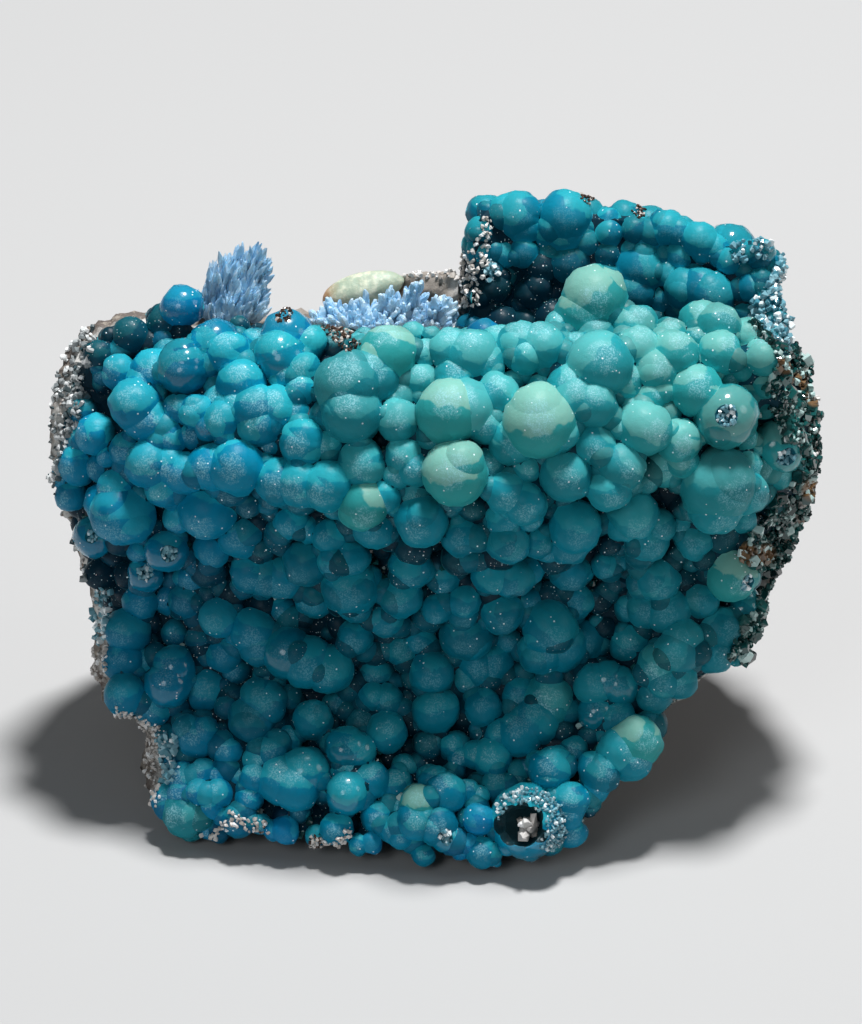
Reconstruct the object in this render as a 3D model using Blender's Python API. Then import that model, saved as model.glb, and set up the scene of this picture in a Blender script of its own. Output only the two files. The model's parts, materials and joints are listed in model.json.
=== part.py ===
"""Plumbogummite on matrix: a broken piece of rock with a thick crust of blue-green lumps, in metres.

The lumps are read from the photograph in picture millimetres: u to the right, v up in the picture and
w towards the viewer. to_world() turns these into the stand's frame, with +Z up and the base at z = 0.
"""

import math
import random

import bmesh
import bpy
import numpy as np
from mathutils import Vector, noise

MM = 0.001
VIEW_ELEVATION = math.radians(30.0)
SIN_E = math.sin(VIEW_ELEVATION)
COS_E = math.cos(VIEW_ELEVATION)
FLOOR_V = 10.0  # picture height, in mm, of the point where x = y = z = 0 before centring
SWELLS = (0.38, 0.14, 0.02)  # mm cut back from each neighbour: the later passes clear what sharp corners miss

# How far the crust stands towards the viewer, in mm: one row for each picture height, one value for each column.
DEPTH_U = (-34.0, -26.0, -16.0, -6.0, 4.0, 14.0, 24.0, 34.0)
DEPTH_V = (0.0, 5.0, 10.0, 15.0, 20.0, 25.0, 30.0, 35.0, 40.0, 45.0, 50.0)
DEPTH_W = np.array([
    (8.0, 12.0, 15.0, 18.0, 19.0, 18.0, 12.0, 6.0),
    (8.0, 13.0, 17.5, 18.5, 19.0, 18.5, 13.0, 7.0),
    (8.0, 13.0, 16.0, 16.5, 16.5, 18.0, 14.0, 8.0),
    (9.0, 13.5, 14.5, 15.0, 15.0, 16.0, 16.0, 9.0),
    (9.0, 12.5, 15.0, 16.0, 16.5, 16.0, 17.5, 11.0),
    (10.0, 13.5, 16.5, 19.0, 20.0, 17.5, 17.5, 13.0),
    (12.0, 17.0, 20.0, 23.5, 25.0, 22.5, 20.0, 15.0),
    (14.0, 20.0, 23.5, 26.0, 27.0, 26.0, 23.0, 16.0),
    (15.0, 20.5, 24.0, 26.5, 27.0, 27.0, 24.0, 17.0),
    (14.5, 19.0, 22.0, 24.5, 25.0, 25.5, 23.0, 16.0),
    (13.0, 16.0, 18.0, 20.0, 20.5, 21.0, 20.0, 15.0),
])
BACK_WALL_W = 10.0  # mm towards the viewer, for the crust of the wall behind the hollow

# Lumps of the front: (u, v, radius, lift), where lift moves a lump out of the crust's mean surface.
TOP_LEFT = [
    (-22.4, 50.5, 1.8, 1.0), (-23.8, 49.2, 1.7, 0.0), (-27.0, 48.0, 1.5, 0.0), (-28.9, 47.8, 0.9, -0.5),
    (-29.9, 46.2, 1.3, 0.0), (-28.0, 44.6, 1.5, -0.3), (-22.2, 45.0, 2.3, 0.8), (-25.0, 44.8, 1.8, 0.0),
    (-25.6, 44.0, 1.6, 0.0), (-19.4, 47.2, 2.1, 0.3), (-18.2, 46.3, 1.9, 0.2), (-17.2, 48.7, 0.9, -0.8),
]
LEFT = [
    (-26.6, 41.7, 2.1, 0.7), (-25.5, 40.3, 1.9, 0.0), (-30.2, 39.0, 1.7, 0.2), (-31.8, 36.3, 1.7, 0.2),
    (-33.0, 35.2, 1.1, -0.3), (-32.4, 33.5, 1.4, -0.2), (-27.7, 31.7, 2.6, 1.0), (-28.3, 34.2, 1.5, 0.0),
    (-29.3, 32.6, 1.9, 0.2), (-23.5, 36.3, 1.7, 0.3), (-25.2, 36.3, 2.0, 0.6), (-22.0, 35.5, 1.9, 0.0),
    (-23.3, 38.6, 1.6, -0.3), (-24.0, 34.2, 1.6, 0.0), (-19.7, 36.0, 2.0, 0.6), (-17.3, 36.0, 2.3, 0.8),
    (-20.0, 32.1, 2.4, 0.0), (-22.6, 31.6, 1.4, -0.4), (-30.5, 29.8, 1.7, 0.0), (-26.3, 28.6, 1.0, -0.5),
    (-23.7, 28.4, 1.8, 0.6), (-25.7, 26.4, 1.5, 0.5), (-19.6, 28.8, 1.6, -1.0), (-17.3, 29.8, 1.7, -0.8),
    (-21.5, 26.3, 1.6, -1.2), (-28.9, 37.0, 1.0, -0.4), (-22.6, 41.3, 1.3, 0.0), (-20.8, 41.0, 1.5, 0.3),
    (-18.5, 40.3, 1.6, 0.3), (-19.9, 39.7, 1.3, 0.0),
]
RIDGE_LEFT = [
    (-12.9, 47.9, 2.2, 0.8), (-13.3, 45.9, 2.3, 0.0), (-10.8, 47.2, 1.4, 0.0), (-16.9, 43.6, 1.9, 0.6),
    (-15.6, 41.2, 2.1, 0.3), (-13.9, 41.3, 1.9, 0.2), (-15.3, 40.0, 2.0, 0.0), (-17.2, 41.5, 1.5, 0.0),
    (-12.7, 44.2, 1.4, 0.2), (-11.3, 44.6, 1.5, 0.3), (-11.5, 43.0, 1.4, 0.2), (-7.4, 43.4, 2.8, 1.5),
    (-5.6, 43.9, 2.5, 0.8), (-7.0, 41.0, 2.5, 0.8), (-3.9, 46.2, 2.5, 0.8), (-12.0, 40.8, 1.2, -0.4),
    (-11.4, 38.3, 2.0, 0.4), (-14.4, 38.1, 1.1, -0.5), (-9.3, 38.0, 1.4, -0.2), (-13.6, 34.8, 2.0, 0.6),
    (-11.6, 34.6, 2.1, 0.8), (-9.3, 34.3, 2.1, 0.8), (-6.2, 36.4, 2.0, 0.0), (-2.9, 40.2, 1.8, 0.2),
    (-2.4, 37.0, 1.6, 0.0), (-3.0, 35.3, 1.3, -0.2), (-1.5, 35.9, 1.6, 0.1), (-6.0, 32.6, 2.1, 1.2),
    (-4.2, 33.3, 1.4, 0.5), (-0.9, 31.2, 2.2, 1.0),
]
RIDGE_CENTRE = [
    (2.1, 35.5, 2.8, 1.3), (1.6, 41.0, 2.8, 0.8), (3.0, 41.3, 2.4, 0.6), (0.3, 38.8, 1.5, -0.3),
    (-0.5, 46.0, 1.5, -0.2), (-0.8, 43.8, 1.6, -0.3), (-1.6, 47.9, 1.1, -0.5), (0.0, 47.7, 0.9, -0.4),
    (1.9, 46.4, 2.0, 0.4), (3.6, 46.0, 2.3, 0.3), (4.8, 45.3, 1.7, 0.0), (2.1, 44.1, 1.7, 0.4),
    (5.9, 42.4, 1.9, 0.3), (4.9, 39.8, 1.6, 0.0), (9.6, 40.0, 3.0, 1.4), (7.3, 38.4, 2.0, 0.3),
    (11.0, 39.2, 2.0, 0.8), (8.0, 46.9, 2.1, 0.3), (9.8, 46.7, 2.2, 0.3), (8.5, 45.9, 1.4, 0.6),
    (6.0, 47.2, 1.5, -0.2), (11.3, 46.2, 1.2, 0.0), (14.6, 51.2, 2.7, -0.5), (13.8, 49.9, 2.4, -0.5),
    (11.4, 48.6, 1.3, -0.8), (18.2, 48.6, 2.0, -0.5), (15.0, 45.2, 2.6, 0.8), (12.3, 43.2, 1.9, 0.5),
    (12.9, 42.0, 2.1, 0.6), (14.4, 41.7, 2.0, 0.5), (17.0, 43.7, 1.8, -0.8), (12.0, 35.3, 2.1, 0.5),
    (16.9, 36.0, 2.0, 0.8), (15.9, 34.0, 1.8, 0.8), (6.6, 33.7, 1.7, 0.5), (8.2, 32.8, 1.9, 0.8),
    (8.5, 35.8, 1.2, -0.2), (14.5, 38.0, 1.8, 0.0), (16.8, 39.6, 1.2, -0.2),
]
RIDGE_RIGHT = [
    (19.0, 39.5, 2.3, 0.6), (22.1, 38.3, 1.9, 0.6), (19.7, 42.4, 1.4, -0.4), (21.7, 46.2, 2.1, 0.4),
    (18.5, 46.6, 1.9, 0.0), (20.0, 44.7, 1.9, 0.1), (25.9, 46.3, 1.9, 0.4), (25.7, 48.6, 2.0, -0.2),
    (28.6, 47.6, 1.8, 0.2), (29.3, 45.0, 1.3, 0.0), (23.7, 42.9, 2.2, 0.6), (26.5, 40.6, 2.6, 1.2),
    (31.2, 38.0, 2.2, 0.5), (30.8, 42.0, 1.5, 0.0), (25.4, 32.3, 2.2, 1.0), (28.2, 33.8, 1.9, 0.9),
    (25.7, 34.4, 3.2, 0.0), (21.3, 47.9, 1.5, -0.5), (24.2, 49.2, 1.7, -0.9), (30.8, 47.5, 1.3, -0.2),
    (27.8, 31.4, 1.3, 0.0), (28.0, 36.1, 1.5, 0.0), (31.0, 35.4, 1.3, -0.4), (23.5, 29.5, 1.6, -0.5),
    (27.2, 26.4, 2.2, 1.0), (20.5, 36.0, 1.6, -1.0), (22.5, 36.6, 1.5, 0.5), (18.1, 31.9, 2.1, 0.0),
    (17.2, 30.9, 1.5, 0.0), (20.2, 30.7, 1.6, 0.3), (19.3, 29.3, 1.8, 0.0), (22.2, 31.0, 1.3, -0.8),
]
VALLEY_CENTRE = [
    (-5.1, 30.6, 1.7, 0.5), (2.7, 29.9, 1.7, -0.6), (-12.5, 31.1, 1.6, -0.4), (-11.0, 30.5, 1.2, -0.8),
    (-9.0, 29.9, 1.6, -1.0), (-11.2, 27.5, 2.0, 0.0), (-13.2, 26.3, 2.0, -0.4), (-16.2, 26.6, 1.7, 0.0),
    (-14.8, 26.4, 2.0, -0.3), (-10.5, 24.2, 1.6, -1.2), (-8.6, 27.8, 1.5, 0.2), (-7.1, 27.9, 1.5, 0.0),
    (-7.2, 25.3, 2.3, 0.8), (-6.9, 23.8, 1.6, 0.2), (-5.7, 26.0, 1.3, 0.3), (-1.8, 27.1, 1.8, -0.2),
    (-0.8, 26.8, 1.2, -0.3), (-2.7, 24.4, 1.8, 0.6), (-4.1, 22.4, 1.6, 0.2), (0.5, 23.3, 1.3, 0.5),
    (1.2, 26.2, 1.6, -1.0), (3.0, 24.0, 1.4, 0.2), (2.9, 22.9, 1.3, 0.4), (-6.8, 20.8, 1.5, 0.6),
    (-2.6, 19.8, 1.6, -1.0), (-1.0, 20.5, 1.3, -0.5), (3.2, 21.0, 2.2, 0.2), (3.7, 20.4, 1.6, 0.5),
    (0.1, 17.5, 1.8, 0.6), (-5.2, 15.5, 1.2, 0.3), (-4.0, 15.2, 1.4, 0.0), (0.4, 14.2, 2.0, 0.6),
    (4.7, 14.4, 1.6, 0.6), (4.2, 18.5, 1.9, -1.2), (3.2, 17.3, 1.7, -1.3), (-5.0, 17.5, 1.6, -1.4),
    (-8.5, 14.7, 1.4, -1.0), (6.6, 31.5, 1.6, 0.2), (8.5, 31.8, 1.5, 0.4), (6.9, 29.3, 1.8, 0.5),
    (9.6, 29.4, 1.4, 0.2), (10.4, 28.8, 1.3, 0.0), (12.8, 30.7, 2.2, 1.2), (12.3, 29.3, 1.9, 0.2),
    (5.5, 26.4, 1.7, 0.1), (7.4, 26.3, 1.9, 0.3), (8.5, 27.0, 1.6, -0.6), (12.5, 26.8, 1.8, -0.6),
    (13.4, 26.6, 1.1, -0.2), (15.7, 27.4, 1.3, -0.8), (16.9, 27.8, 1.0, -1.2), (6.4, 23.0, 1.8, 0.3),
    (8.6, 23.9, 1.5, -1.0), (13.0, 24.1, 1.6, -0.6), (10.7, 21.6, 2.3, 1.4), (10.0, 19.6, 2.0, 0.8),
    (11.6, 20.0, 2.2, 0.2), (13.6, 20.5, 1.9, -1.0), (20.3, 25.9, 1.9, 0.6), (18.9, 25.6, 1.3, 0.2),
    (21.3, 23.2, 1.9, -0.1), (19.4, 23.3, 1.7, -0.5), (17.8, 23.5, 1.4, -1.4), (18.0, 20.3, 1.8, -1.2),
    (24.0, 24.1, 1.7, -0.6), (6.8, 20.6, 1.4, -1.2), (5.4, 18.6, 1.9, -1.4),
]
VALLEY_LEFT = [
    (-26.2, 23.9, 1.5, -0.2), (-22.0, 24.0, 1.6, -0.4), (-23.9, 24.2, 1.3, -1.2), (-19.1, 22.5, 1.7, 0.5),
    (-13.3, 23.2, 1.4, -1.2), (-27.4, 21.3, 1.9, 0.2), (-27.8, 18.6, 1.8, 0.0), (-25.6, 18.6, 1.4, -0.8),
    (-23.2, 18.1, 1.8, 0.9), (-23.7, 16.6, 1.9, 0.8), (-27.6, 15.6, 1.8, 0.4), (-25.0, 14.4, 1.6, -0.6),
    (-16.0, 21.4, 1.9, 0.5), (-15.6, 20.0, 1.7, 0.7), (-17.4, 21.0, 1.1, 0.0), (-12.9, 19.3, 2.1, 1.0),
    (-11.0, 18.5, 2.2, 1.1), (-9.3, 17.9, 2.1, 1.0), (-18.6, 19.2, 1.6, -1.0), (-14.5, 17.0, 1.6, -0.8),
    (-23.0, 21.2, 1.3, -1.5), (-15.1, 14.9, 2.0, 0.8), (-16.1, 13.4, 2.0, 0.5), (-20.2, 16.0, 2.1, -1.6),
    (-17.7, 17.7, 1.5, -1.8), (-21.9, 12.4, 1.3, 0.4), (-20.4, 12.3, 1.3, 0.4), (-21.1, 11.6, 1.6, 0.1),
    (-10.7, 13.4, 1.7, 0.6), (-18.3, 10.5, 1.3, 0.0), (-14.4, 10.5, 1.4, 0.4), (-15.5, 9.7, 1.3, 0.2),
    (-12.8, 11.6, 1.2, -0.8),
]
RIM_LEFT = [
    (-22.2, 8.0, 1.4, 0.6), (-20.5, 8.5, 1.3, 0.5), (-20.9, 6.9, 1.2, 1.1), (-22.3, 6.6, 1.3, 0.9),
    (-19.3, 8.2, 1.0, 0.2), (-19.2, 6.8, 1.2, 0.5), (-19.7, 5.6, 1.0, 0.3), (-22.2, 4.9, 1.9, 0.6),
    (-23.7, 6.1, 1.4, 0.3), (-21.1, 4.7, 1.4, 0.4), (-21.6, 3.3, 0.9, 0.0), (-19.9, 3.4, 0.9, -0.4),
    (-17.4, 4.3, 1.4, -0.5), (-15.3, 4.0, 0.9, -0.4), (-15.8, 8.2, 1.3, 0.3), (-13.4, 7.9, 2.0, 0.5),
    (-12.2, 7.4, 2.0, 0.6), (-11.3, 8.7, 2.1, 0.7), (-17.2, 8.2, 1.1, -0.8), (-16.3, 6.3, 1.2, -0.6),
    (-13.1, 3.4, 1.2, 0.0), (-14.1, 3.3, 0.9, 0.0), (-8.5, 3.6, 1.4, 0.0), (-10.4, 3.0, 0.9, -0.4),
    (-7.6, 10.8, 1.8, 0.9), (-6.6, 10.6, 1.6, 0.7), (-7.5, 6.9, 1.8, 0.9), (-5.4, 8.0, 1.7, 0.4),
    (-7.6, 8.8, 1.5, 0.2), (-4.0, 12.2, 1.7, 0.3), (-3.2, 7.4, 1.5, -0.8), (-4.7, 4.6, 1.4, -0.6),
    (-5.3, 2.3, 0.9, 0.0), (-6.5, 2.2, 0.9, -0.2),
]
RIM_RIGHT = [
    (-1.0, 6.0, 1.6, 1.2), (1.3, 6.9, 1.7, 1.1), (0.3, 7.8, 1.4, 0.7), (-1.2, 4.5, 1.7, 1.1),
    (0.6, 4.0, 1.6, 1.1), (1.4, 2.9, 1.2, 0.9), (4.3, 4.5, 1.4, 0.6), (3.4, 2.3, 1.0, 0.3),
    (2.7, 1.6, 0.8, 0.0), (3.1, 6.9, 1.2, 0.0), (4.3, 6.6, 0.9, -0.2), (-2.7, 2.9, 1.0, 0.6),
    (-3.4, 3.6, 1.3, 0.0), (-0.7, 1.3, 0.9, 0.2), (1.9, 11.0, 1.1, -0.4), (2.6, 10.0, 1.1, -0.4),
    (5.4, 10.1, 1.7, 0.0), (4.0, 10.2, 1.3, -0.2), (6.4, 11.9, 1.5, 0.0), (4.5, 1.6, 1.4, 0.2),
    (5.8, 0.7, 0.6, 0.0), (6.8, 2.0, 0.8, 0.8), (8.9, 1.9, 1.0, 0.5), (10.9, 1.9, 0.6, 0.0),
    (12.4, 6.2, 1.6, 0.7), (12.2, 5.0, 1.4, 0.5), (13.2, 5.9, 0.9, 0.3), (10.7, 9.0, 1.8, 0.7),
    (11.3, 9.6, 1.3, 0.4), (12.6, 3.2, 1.3, -0.5), (14.4, 9.2, 1.2, 0.2), (15.2, 8.6, 1.7, 0.3),
    (14.8, 7.4, 1.2, 0.0), (18.4, 11.3, 2.2, 1.2), (17.0, 10.6, 1.9, 0.8), (17.9, 9.9, 1.9, 0.8),
    (16.9, 16.5, 1.6, 0.8), (14.8, 16.6, 1.8, 0.7), (15.8, 16.9, 1.6, 0.8), (14.9, 14.1, 1.6, 0.2),
    (16.5, 13.4, 1.7, 0.0), (20.3, 18.2, 1.8, 0.9), (21.0, 17.0, 1.7, 1.0), (22.3, 16.9, 1.6, 0.7),
    (22.0, 19.4, 1.9, 0.7), (20.0, 15.7, 1.6, 0.2), (22.6, 20.6, 1.8, 0.4), (10.4, 15.0, 2.3, -0.2),
    (9.3, 13.3, 2.1, 0.3), (8.0, 12.1, 1.9, 0.3), (8.2, 15.4, 1.8, -0.6), (25.4, 19.2, 1.6, -0.8),
    (26.0, 21.4, 2.0, -1.0), (28.2, 24.3, 1.2, -1.0), (28.4, 21.8, 1.3, 0.0), (27.5, 19.5, 1.1, 0.2),
    (28.3, 23.2, 1.5, -0.8),
]
OPEN_LUMP = (8.6, 4.3, 3.0, 0.6)  # the lump that is broken open
OPEN_LUMP_HOLLOW = (8.5, 4.4, 1.8, 2.6)

# Lumps of the wall behind the hollow, with lift from the plane w = BACK_WALL_W.
BACK_WALL = [
    (8.0, 58.8, 2.0, 0.4), (8.5, 57.7, 1.6, 0.4), (6.9, 59.3, 1.5, 0.2), (12.1, 58.7, 2.2, 0.8),
    (10.6, 57.4, 1.6, 0.3), (12.2, 57.2, 1.8, 0.4), (13.6, 57.6, 1.4, 0.2), (16.0, 58.3, 1.2, 0.0),
    (18.8, 57.8, 1.1, 0.0), (16.2, 55.4, 1.3, -0.3), (14.6, 55.2, 1.1, -0.6), (18.2, 55.9, 1.3, -0.2),
    (19.6, 56.9, 1.7, -0.2), (17.6, 57.3, 1.3, -0.6), (19.0, 54.0, 2.2, -0.2), (18.5, 51.8, 1.9, 0.0),
    (21.3, 57.7, 1.5, 0.4), (22.3, 57.3, 1.3, 0.4), (24.2, 56.6, 1.6, 0.5), (24.5, 55.6, 1.1, 0.4),
    (25.6, 55.9, 1.2, 0.0), (22.9, 52.2, 1.7, 0.8), (24.3, 52.2, 1.8, 0.9), (25.3, 51.6, 2.0, 0.8),
    (27.0, 54.7, 1.2, 0.0), (28.1, 55.6, 0.9, 0.2), (29.9, 55.6, 1.0, 0.0), (28.9, 52.2, 1.3, 0.0),
    (29.8, 53.0, 1.1, 0.0), (30.3, 51.0, 1.3, 0.0), (28.4, 49.9, 1.2, -0.4), (9.8, 54.2, 1.0, -1.6),
    (11.5, 52.9, 1.3, -1.4), (12.4, 54.2, 1.1, -1.8), (6.6, 55.4, 1.3, 0.0), (5.5, 54.0, 1.1, 0.3),
    (5.8, 52.4, 1.4, 0.0), (6.6, 53.4, 1.3, -0.6), (20.7, 51.4, 1.4, -0.5), (31.0, 49.2, 1.2, 0.0),
]

# Front edge of the crust: (u, v, flare), where flare is how much further out the broken edge's foot lies.
CRUST_EDGE = [
    (-28.5, 48.0, 0.6), (-30.6, 46.0, 1.0), (-31.3, 43.0, 1.6), (-31.4, 40.5, 2.0), (-32.8, 37.5, 1.2),
    (-33.0, 34.0, 0.6), (-31.8, 31.0, 0.6), (-30.4, 27.5, 0.6), (-29.0, 24.0, 0.6), (-28.8, 20.0, 0.6),
    (-28.6, 17.0, 0.6), (-28.4, 14.9, 0.4), (-26.0, 13.6, 0.2), (-24.0, 12.0, 0.4), (-23.4, 9.0, 0.8),
    (-24.0, 7.0, 0.6), (-23.2, 4.8, 0.0), (-21.0, 3.8, 0.0), (-18.0, 4.2, 0.0), (-14.5, 3.6, 0.0),
    (-9.5, 3.6, 0.0), (-5.0, 3.2, 0.0), (0.0, 3.0, 0.0), (5.0, 2.6, 0.0), (9.0, 2.8, 0.0),
    (12.5, 3.8, 0.0), (14.2, 5.7, 0.0), (16.4, 8.6, 0.0), (19.0, 11.2, 0.2), (20.0, 13.8, 0.2),
    (23.0, 16.6, 0.2), (26.2, 19.2, 0.6), (27.4, 21.6, 1.0), (28.8, 24.6, 0.6), (29.2, 26.4, 1.2),
    (27.6, 28.4, 3.4), (29.0, 30.6, 3.4), (31.0, 33.0, 2.6), (32.8, 36.0, 1.6), (32.4, 39.5, 2.2),
    (30.8, 42.0, 3.4), (31.0, 44.5, 3.0), (31.6, 46.4, 2.2), (28.0, 48.2, 0.4), (24.0, 48.2, 0.0),
    (19.0, 47.8, 0.0), (14.0, 48.0, 0.0), (8.0, 47.6, 0.0), (3.0, 47.0, 0.0), (-3.0, 46.8, 0.0),
    (-9.0, 46.8, 0.0), (-15.0, 47.4, 0.0), (-20.0, 47.8, 0.0), (-25.0, 48.4, 0.0),
]
# Front edge of the rock, which shows as a pale rind outside the crust at both ends.
ROCK_EDGE = [
    (-32.2, 48.8), (-33.3, 45.2), (-34.6, 40.6), (-34.1, 36.4), (-33.2, 32.4), (-31.8, 28.2), (-30.5, 24.4),
    (-30.1, 20.4), (-30.2, 17.4), (-29.6, 14.8), (-27.0, 13.4), (-25.3, 11.5), (-25.7, 7.5), (-23.8, 4.9),
    (-20.0, 3.9), (-14.5, 3.9), (-9.5, 3.4), (-4.5, 3.9), (0.0, 3.5), (5.0, 3.4), (10.0, 3.9), (13.5, 5.8),
    (16.0, 8.6), (18.8, 11.2), (20.3, 13.4), (24.0, 16.6), (27.6, 19.4), (29.3, 21.8), (30.1, 24.5),
    (32.1, 28.2), (33.5, 31.2), (34.6, 34.2), (34.9, 38.0), (35.0, 42.0), (34.4, 45.6), (31.0, 45.6),
    (26.0, 44.6), (20.0, 44.0), (14.0, 43.4), (8.0, 43.4), (3.0, 44.0), (-3.0, 44.8), (-9.0, 45.8),
    (-15.0, 46.0), (-20.0, 47.0), (-26.0, 48.4),
]
FACE_CENTRE = (1.0, 27.0)

# The hollow behind the ridge, as (y, z) outlines in mm, and its ends along x.
# To the right the wall behind it gets lower, and it curves forward to meet the ridge.
HOLLOW_X = (2.0, 31.0)
HOLLOW_CUT_X = (3.0, 40.0)
END_SLOPE = 0.3  # the wall's broken left end leans: its top starts further right than its foot
WALL_X = (4.0, 14.0, 20.0, 25.0, 31.0)
WALL_HEIGHT = (1.0, 1.02, 0.94, 0.84, 0.70)
WALL_FORWARD = (0.0, 0.0, 0.3, 1.5, 4.0)
WALL_FOOT_Z = 37.0
HOLLOW_CUT = [
    (-2.0, 42.0), (1.6, 40.0), (3.0, 35.2), (6.6, 33.4), (10.4, 35.4), (12.6, 39.8), (14.6, 44.2),
    (17.2, 46.4), (17.2, 58.0), (-2.0, 58.0),
]
HOLLOW_SKIN = [
    (-2.0, 43.0), (1.5, 42.0), (3.2, 39.5), (4.2, 36.5), (6.5, 35.0), (9.4, 36.6), (11.6, 40.4),
    (13.4, 44.4), (14.8, 47.6), (17.4, 47.4), (19.0, 44.6),
]
HOLLOW_UNDER = [(17.4, 44.0), (15.4, 41.6), (13.2, 36.8), (10.6, 33.0), (6.6, 31.4), (1.6, 32.8), (-3.0, 37.0)]

# Rough chunks of rock: (name, centre in mm, half size in mm, corner count)
ROCK_CHUNKS = [
    ("back_wall_core", (19.0, 17.4, 35.5), (12.5, 3.2, 9.6), 30),
    ("middle_knoll", (-3.5, 13.2, 32.5), (8.6, 4.6, 7.2), 24),
    ("brown_ridge", (0.2, 14.4, 38.4), (3.9, 1.7, 4.4), 18),
    ("left_shoulder", (-22.0, 11.2, 32.2), (9.0, 5.0, 6.4), 24),
    ("dark_patch", (-8.6, 4.8, 38.6), (2.4, 2.2, 3.4), 16),
    ("right_shoulder", (27.0, 9.5, 27.0), (5.5, 6.0, 8.0), 22),
]
# Chips broken out of the back and the sides, which leave ledges: (centre, half size, corner count).
ROCK_CHIPS = [
    ((-27.0, 18.5, 33.0), (8.0, 6.0, 6.5), 16), ((-9.0, 23.5, 33.5), (7.0, 5.2, 5.5), 15),
    ((-19.0, 22.5, 9.0), (8.5, 5.0, 7.5), 16), ((6.0, 24.5, 16.0), (9.0, 5.0, 6.0), 15),
    ((26.0, 20.5, 12.0), (8.0, 6.0, 7.0), 16), ((29.0, 20.0, 31.0), (6.0, 5.0, 5.0), 14),
    ((-33.0, 9.0, 15.0), (6.0, 7.0, 5.0), 15), ((33.5, 8.0, 19.0), (5.0, 6.0, 4.5), 15),
]
# Corners of the broken back, in mm. The flat faces between them cut the rock to shape.
ROCK_BACK = [
    (-29.5, 11.0, 40.0), (-31.5, 13.5, 27.0), (-29.0, 16.0, 17.0), (-26.5, 12.0, -6.0),
    (-19.0, 19.5, 31.0), (-17.0, 20.5, 14.0), (-11.0, 19.5, -5.0), (-8.0, 20.5, 37.0),
    (0.0, 17.6, 44.5), (4.0, 21.5, 8.0), (9.0, 17.5, -8.0), (13.0, 22.0, 28.0),
    (17.0, 20.8, 46.0), (24.0, 13.0, -6.0), (25.0, 20.0, 40.0), (27.0, 18.5, 21.0),
    (31.0, 15.5, 36.0), (32.0, 9.0, 20.0),
]
ROCK_FRONT = [
    (-48.0, -32.0, -12.0), (-48.0, -32.0, 62.0), (48.0, -32.0, -12.0), (48.0, -32.0, 62.0),
    (-34.0, 8.0, 44.0), (34.0, 8.0, 46.0), (0.0, 4.0, 58.0), (22.0, 10.0, 54.0),
]

CRUST_VOXEL = 0.5  # mm
CRUST_TRIANGLES = 5500
ROCK_RINGS = 7
ROCK_BACK_Y = 24.0  # mm


def depth_at(u, v):
    """Depth of the crust's mean surface towards the viewer, in mm, smoothly read from the table."""
    column = np.interp(u, DEPTH_U, range(len(DEPTH_U)))
    row = np.interp(v, DEPTH_V, range(len(DEPTH_V)))
    i = min(int(row), len(DEPTH_V) - 2)
    j = min(int(column), len(DEPTH_U) - 2)
    fu = column - j
    fv = row - i
    fu = fu * fu * (3 - 2 * fu)
    fv = fv * fv * (3 - 2 * fv)
    low = DEPTH_W[i, j] * (1 - fu) + DEPTH_W[i, j + 1] * fu
    high = DEPTH_W[i + 1, j] * (1 - fu) + DEPTH_W[i + 1, j + 1] * fu
    return low * (1 - fv) + high * fv


def to_world(u, v, w):
    """Picture millimetres to metres on the stand."""
    rise = v - FLOOR_V
    y = rise * SIN_E - w * COS_E
    z = rise * COS_E + w * SIN_E
    return stand_point(u, y, z)


def stand_point(x, y, z):
    """Millimetres on the stand to metres."""
    return Vector((x, y, z)) * MM


def new_object(name, mesh):
    obj = bpy.data.objects.new(name, mesh)
    bpy.context.scene.collection.objects.link(obj)
    return obj


def object_from(name, bm):
    """A mesh object from a bmesh, with every face turned outwards."""
    bmesh.ops.recalc_face_normals(bm, faces=bm.faces)
    mesh = bpy.data.meshes.new(name)
    bm.to_mesh(mesh)
    bm.free()
    return new_object(name, mesh)


def apply_modifiers(obj):
    """Turns what the modifiers make into the object's own mesh."""
    graph = bpy.context.evaluated_depsgraph_get()
    made = bpy.data.meshes.new_from_object(obj.evaluated_get(graph))
    obj.modifiers.clear()
    obj.data = made


def remove_object(obj):
    bpy.data.objects.remove(obj, do_unlink=True)


def boolean(obj, other, operation, solver="EXACT", keep=False):
    """Joins or cuts obj with other, which is removed afterwards unless keep is set."""
    modifier = obj.modifiers.new(operation.lower(), "BOOLEAN")
    modifier.operation = operation
    modifier.solver = solver
    modifier.object = other
    apply_modifiers(obj)
    if not keep:
        remove_object(other)


def remesh(obj, voxel_mm, triangles):
    """Makes one clean skin of a mesh that crosses itself, then thins it to about this many triangles."""
    fuse = obj.modifiers.new("fuse", "REMESH")
    fuse.mode = "VOXEL"
    fuse.voxel_size = voxel_mm * MM
    apply_modifiers(obj)
    thin = obj.modifiers.new("thin", "DECIMATE")
    thin.ratio = triangles / (2 * len(obj.data.polygons))
    apply_modifiers(obj)


def swollen(obj, amount_mm):
    """A copy of a piece grown outwards, for cutting its neighbour back."""
    cutter = new_object("cutter", obj.data.copy())
    swell = cutter.modifiers.new("swell", "DISPLACE")
    swell.mid_level = 0.0
    swell.strength = amount_mm * MM
    apply_modifiers(cutter)
    return cutter


def cut_clear(obj, others):
    """Cuts a piece back to leave the fitting gap round each neighbour."""
    for other in others:
        for amount in SWELLS:
            # The exact solver loses the whole piece on this cut, so it uses the manifold solver.
            boolean(obj, swollen(other, amount), "DIFFERENCE", solver="MANIFOLD")
    return largest_body(obj)


def join_shells(name, parts):
    """Copies several closed meshes into one object, still overlapping."""
    bm = bmesh.new()
    for part in parts:
        bm.from_mesh(part.data)
        remove_object(part)
    return object_from(name, bm)


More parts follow.
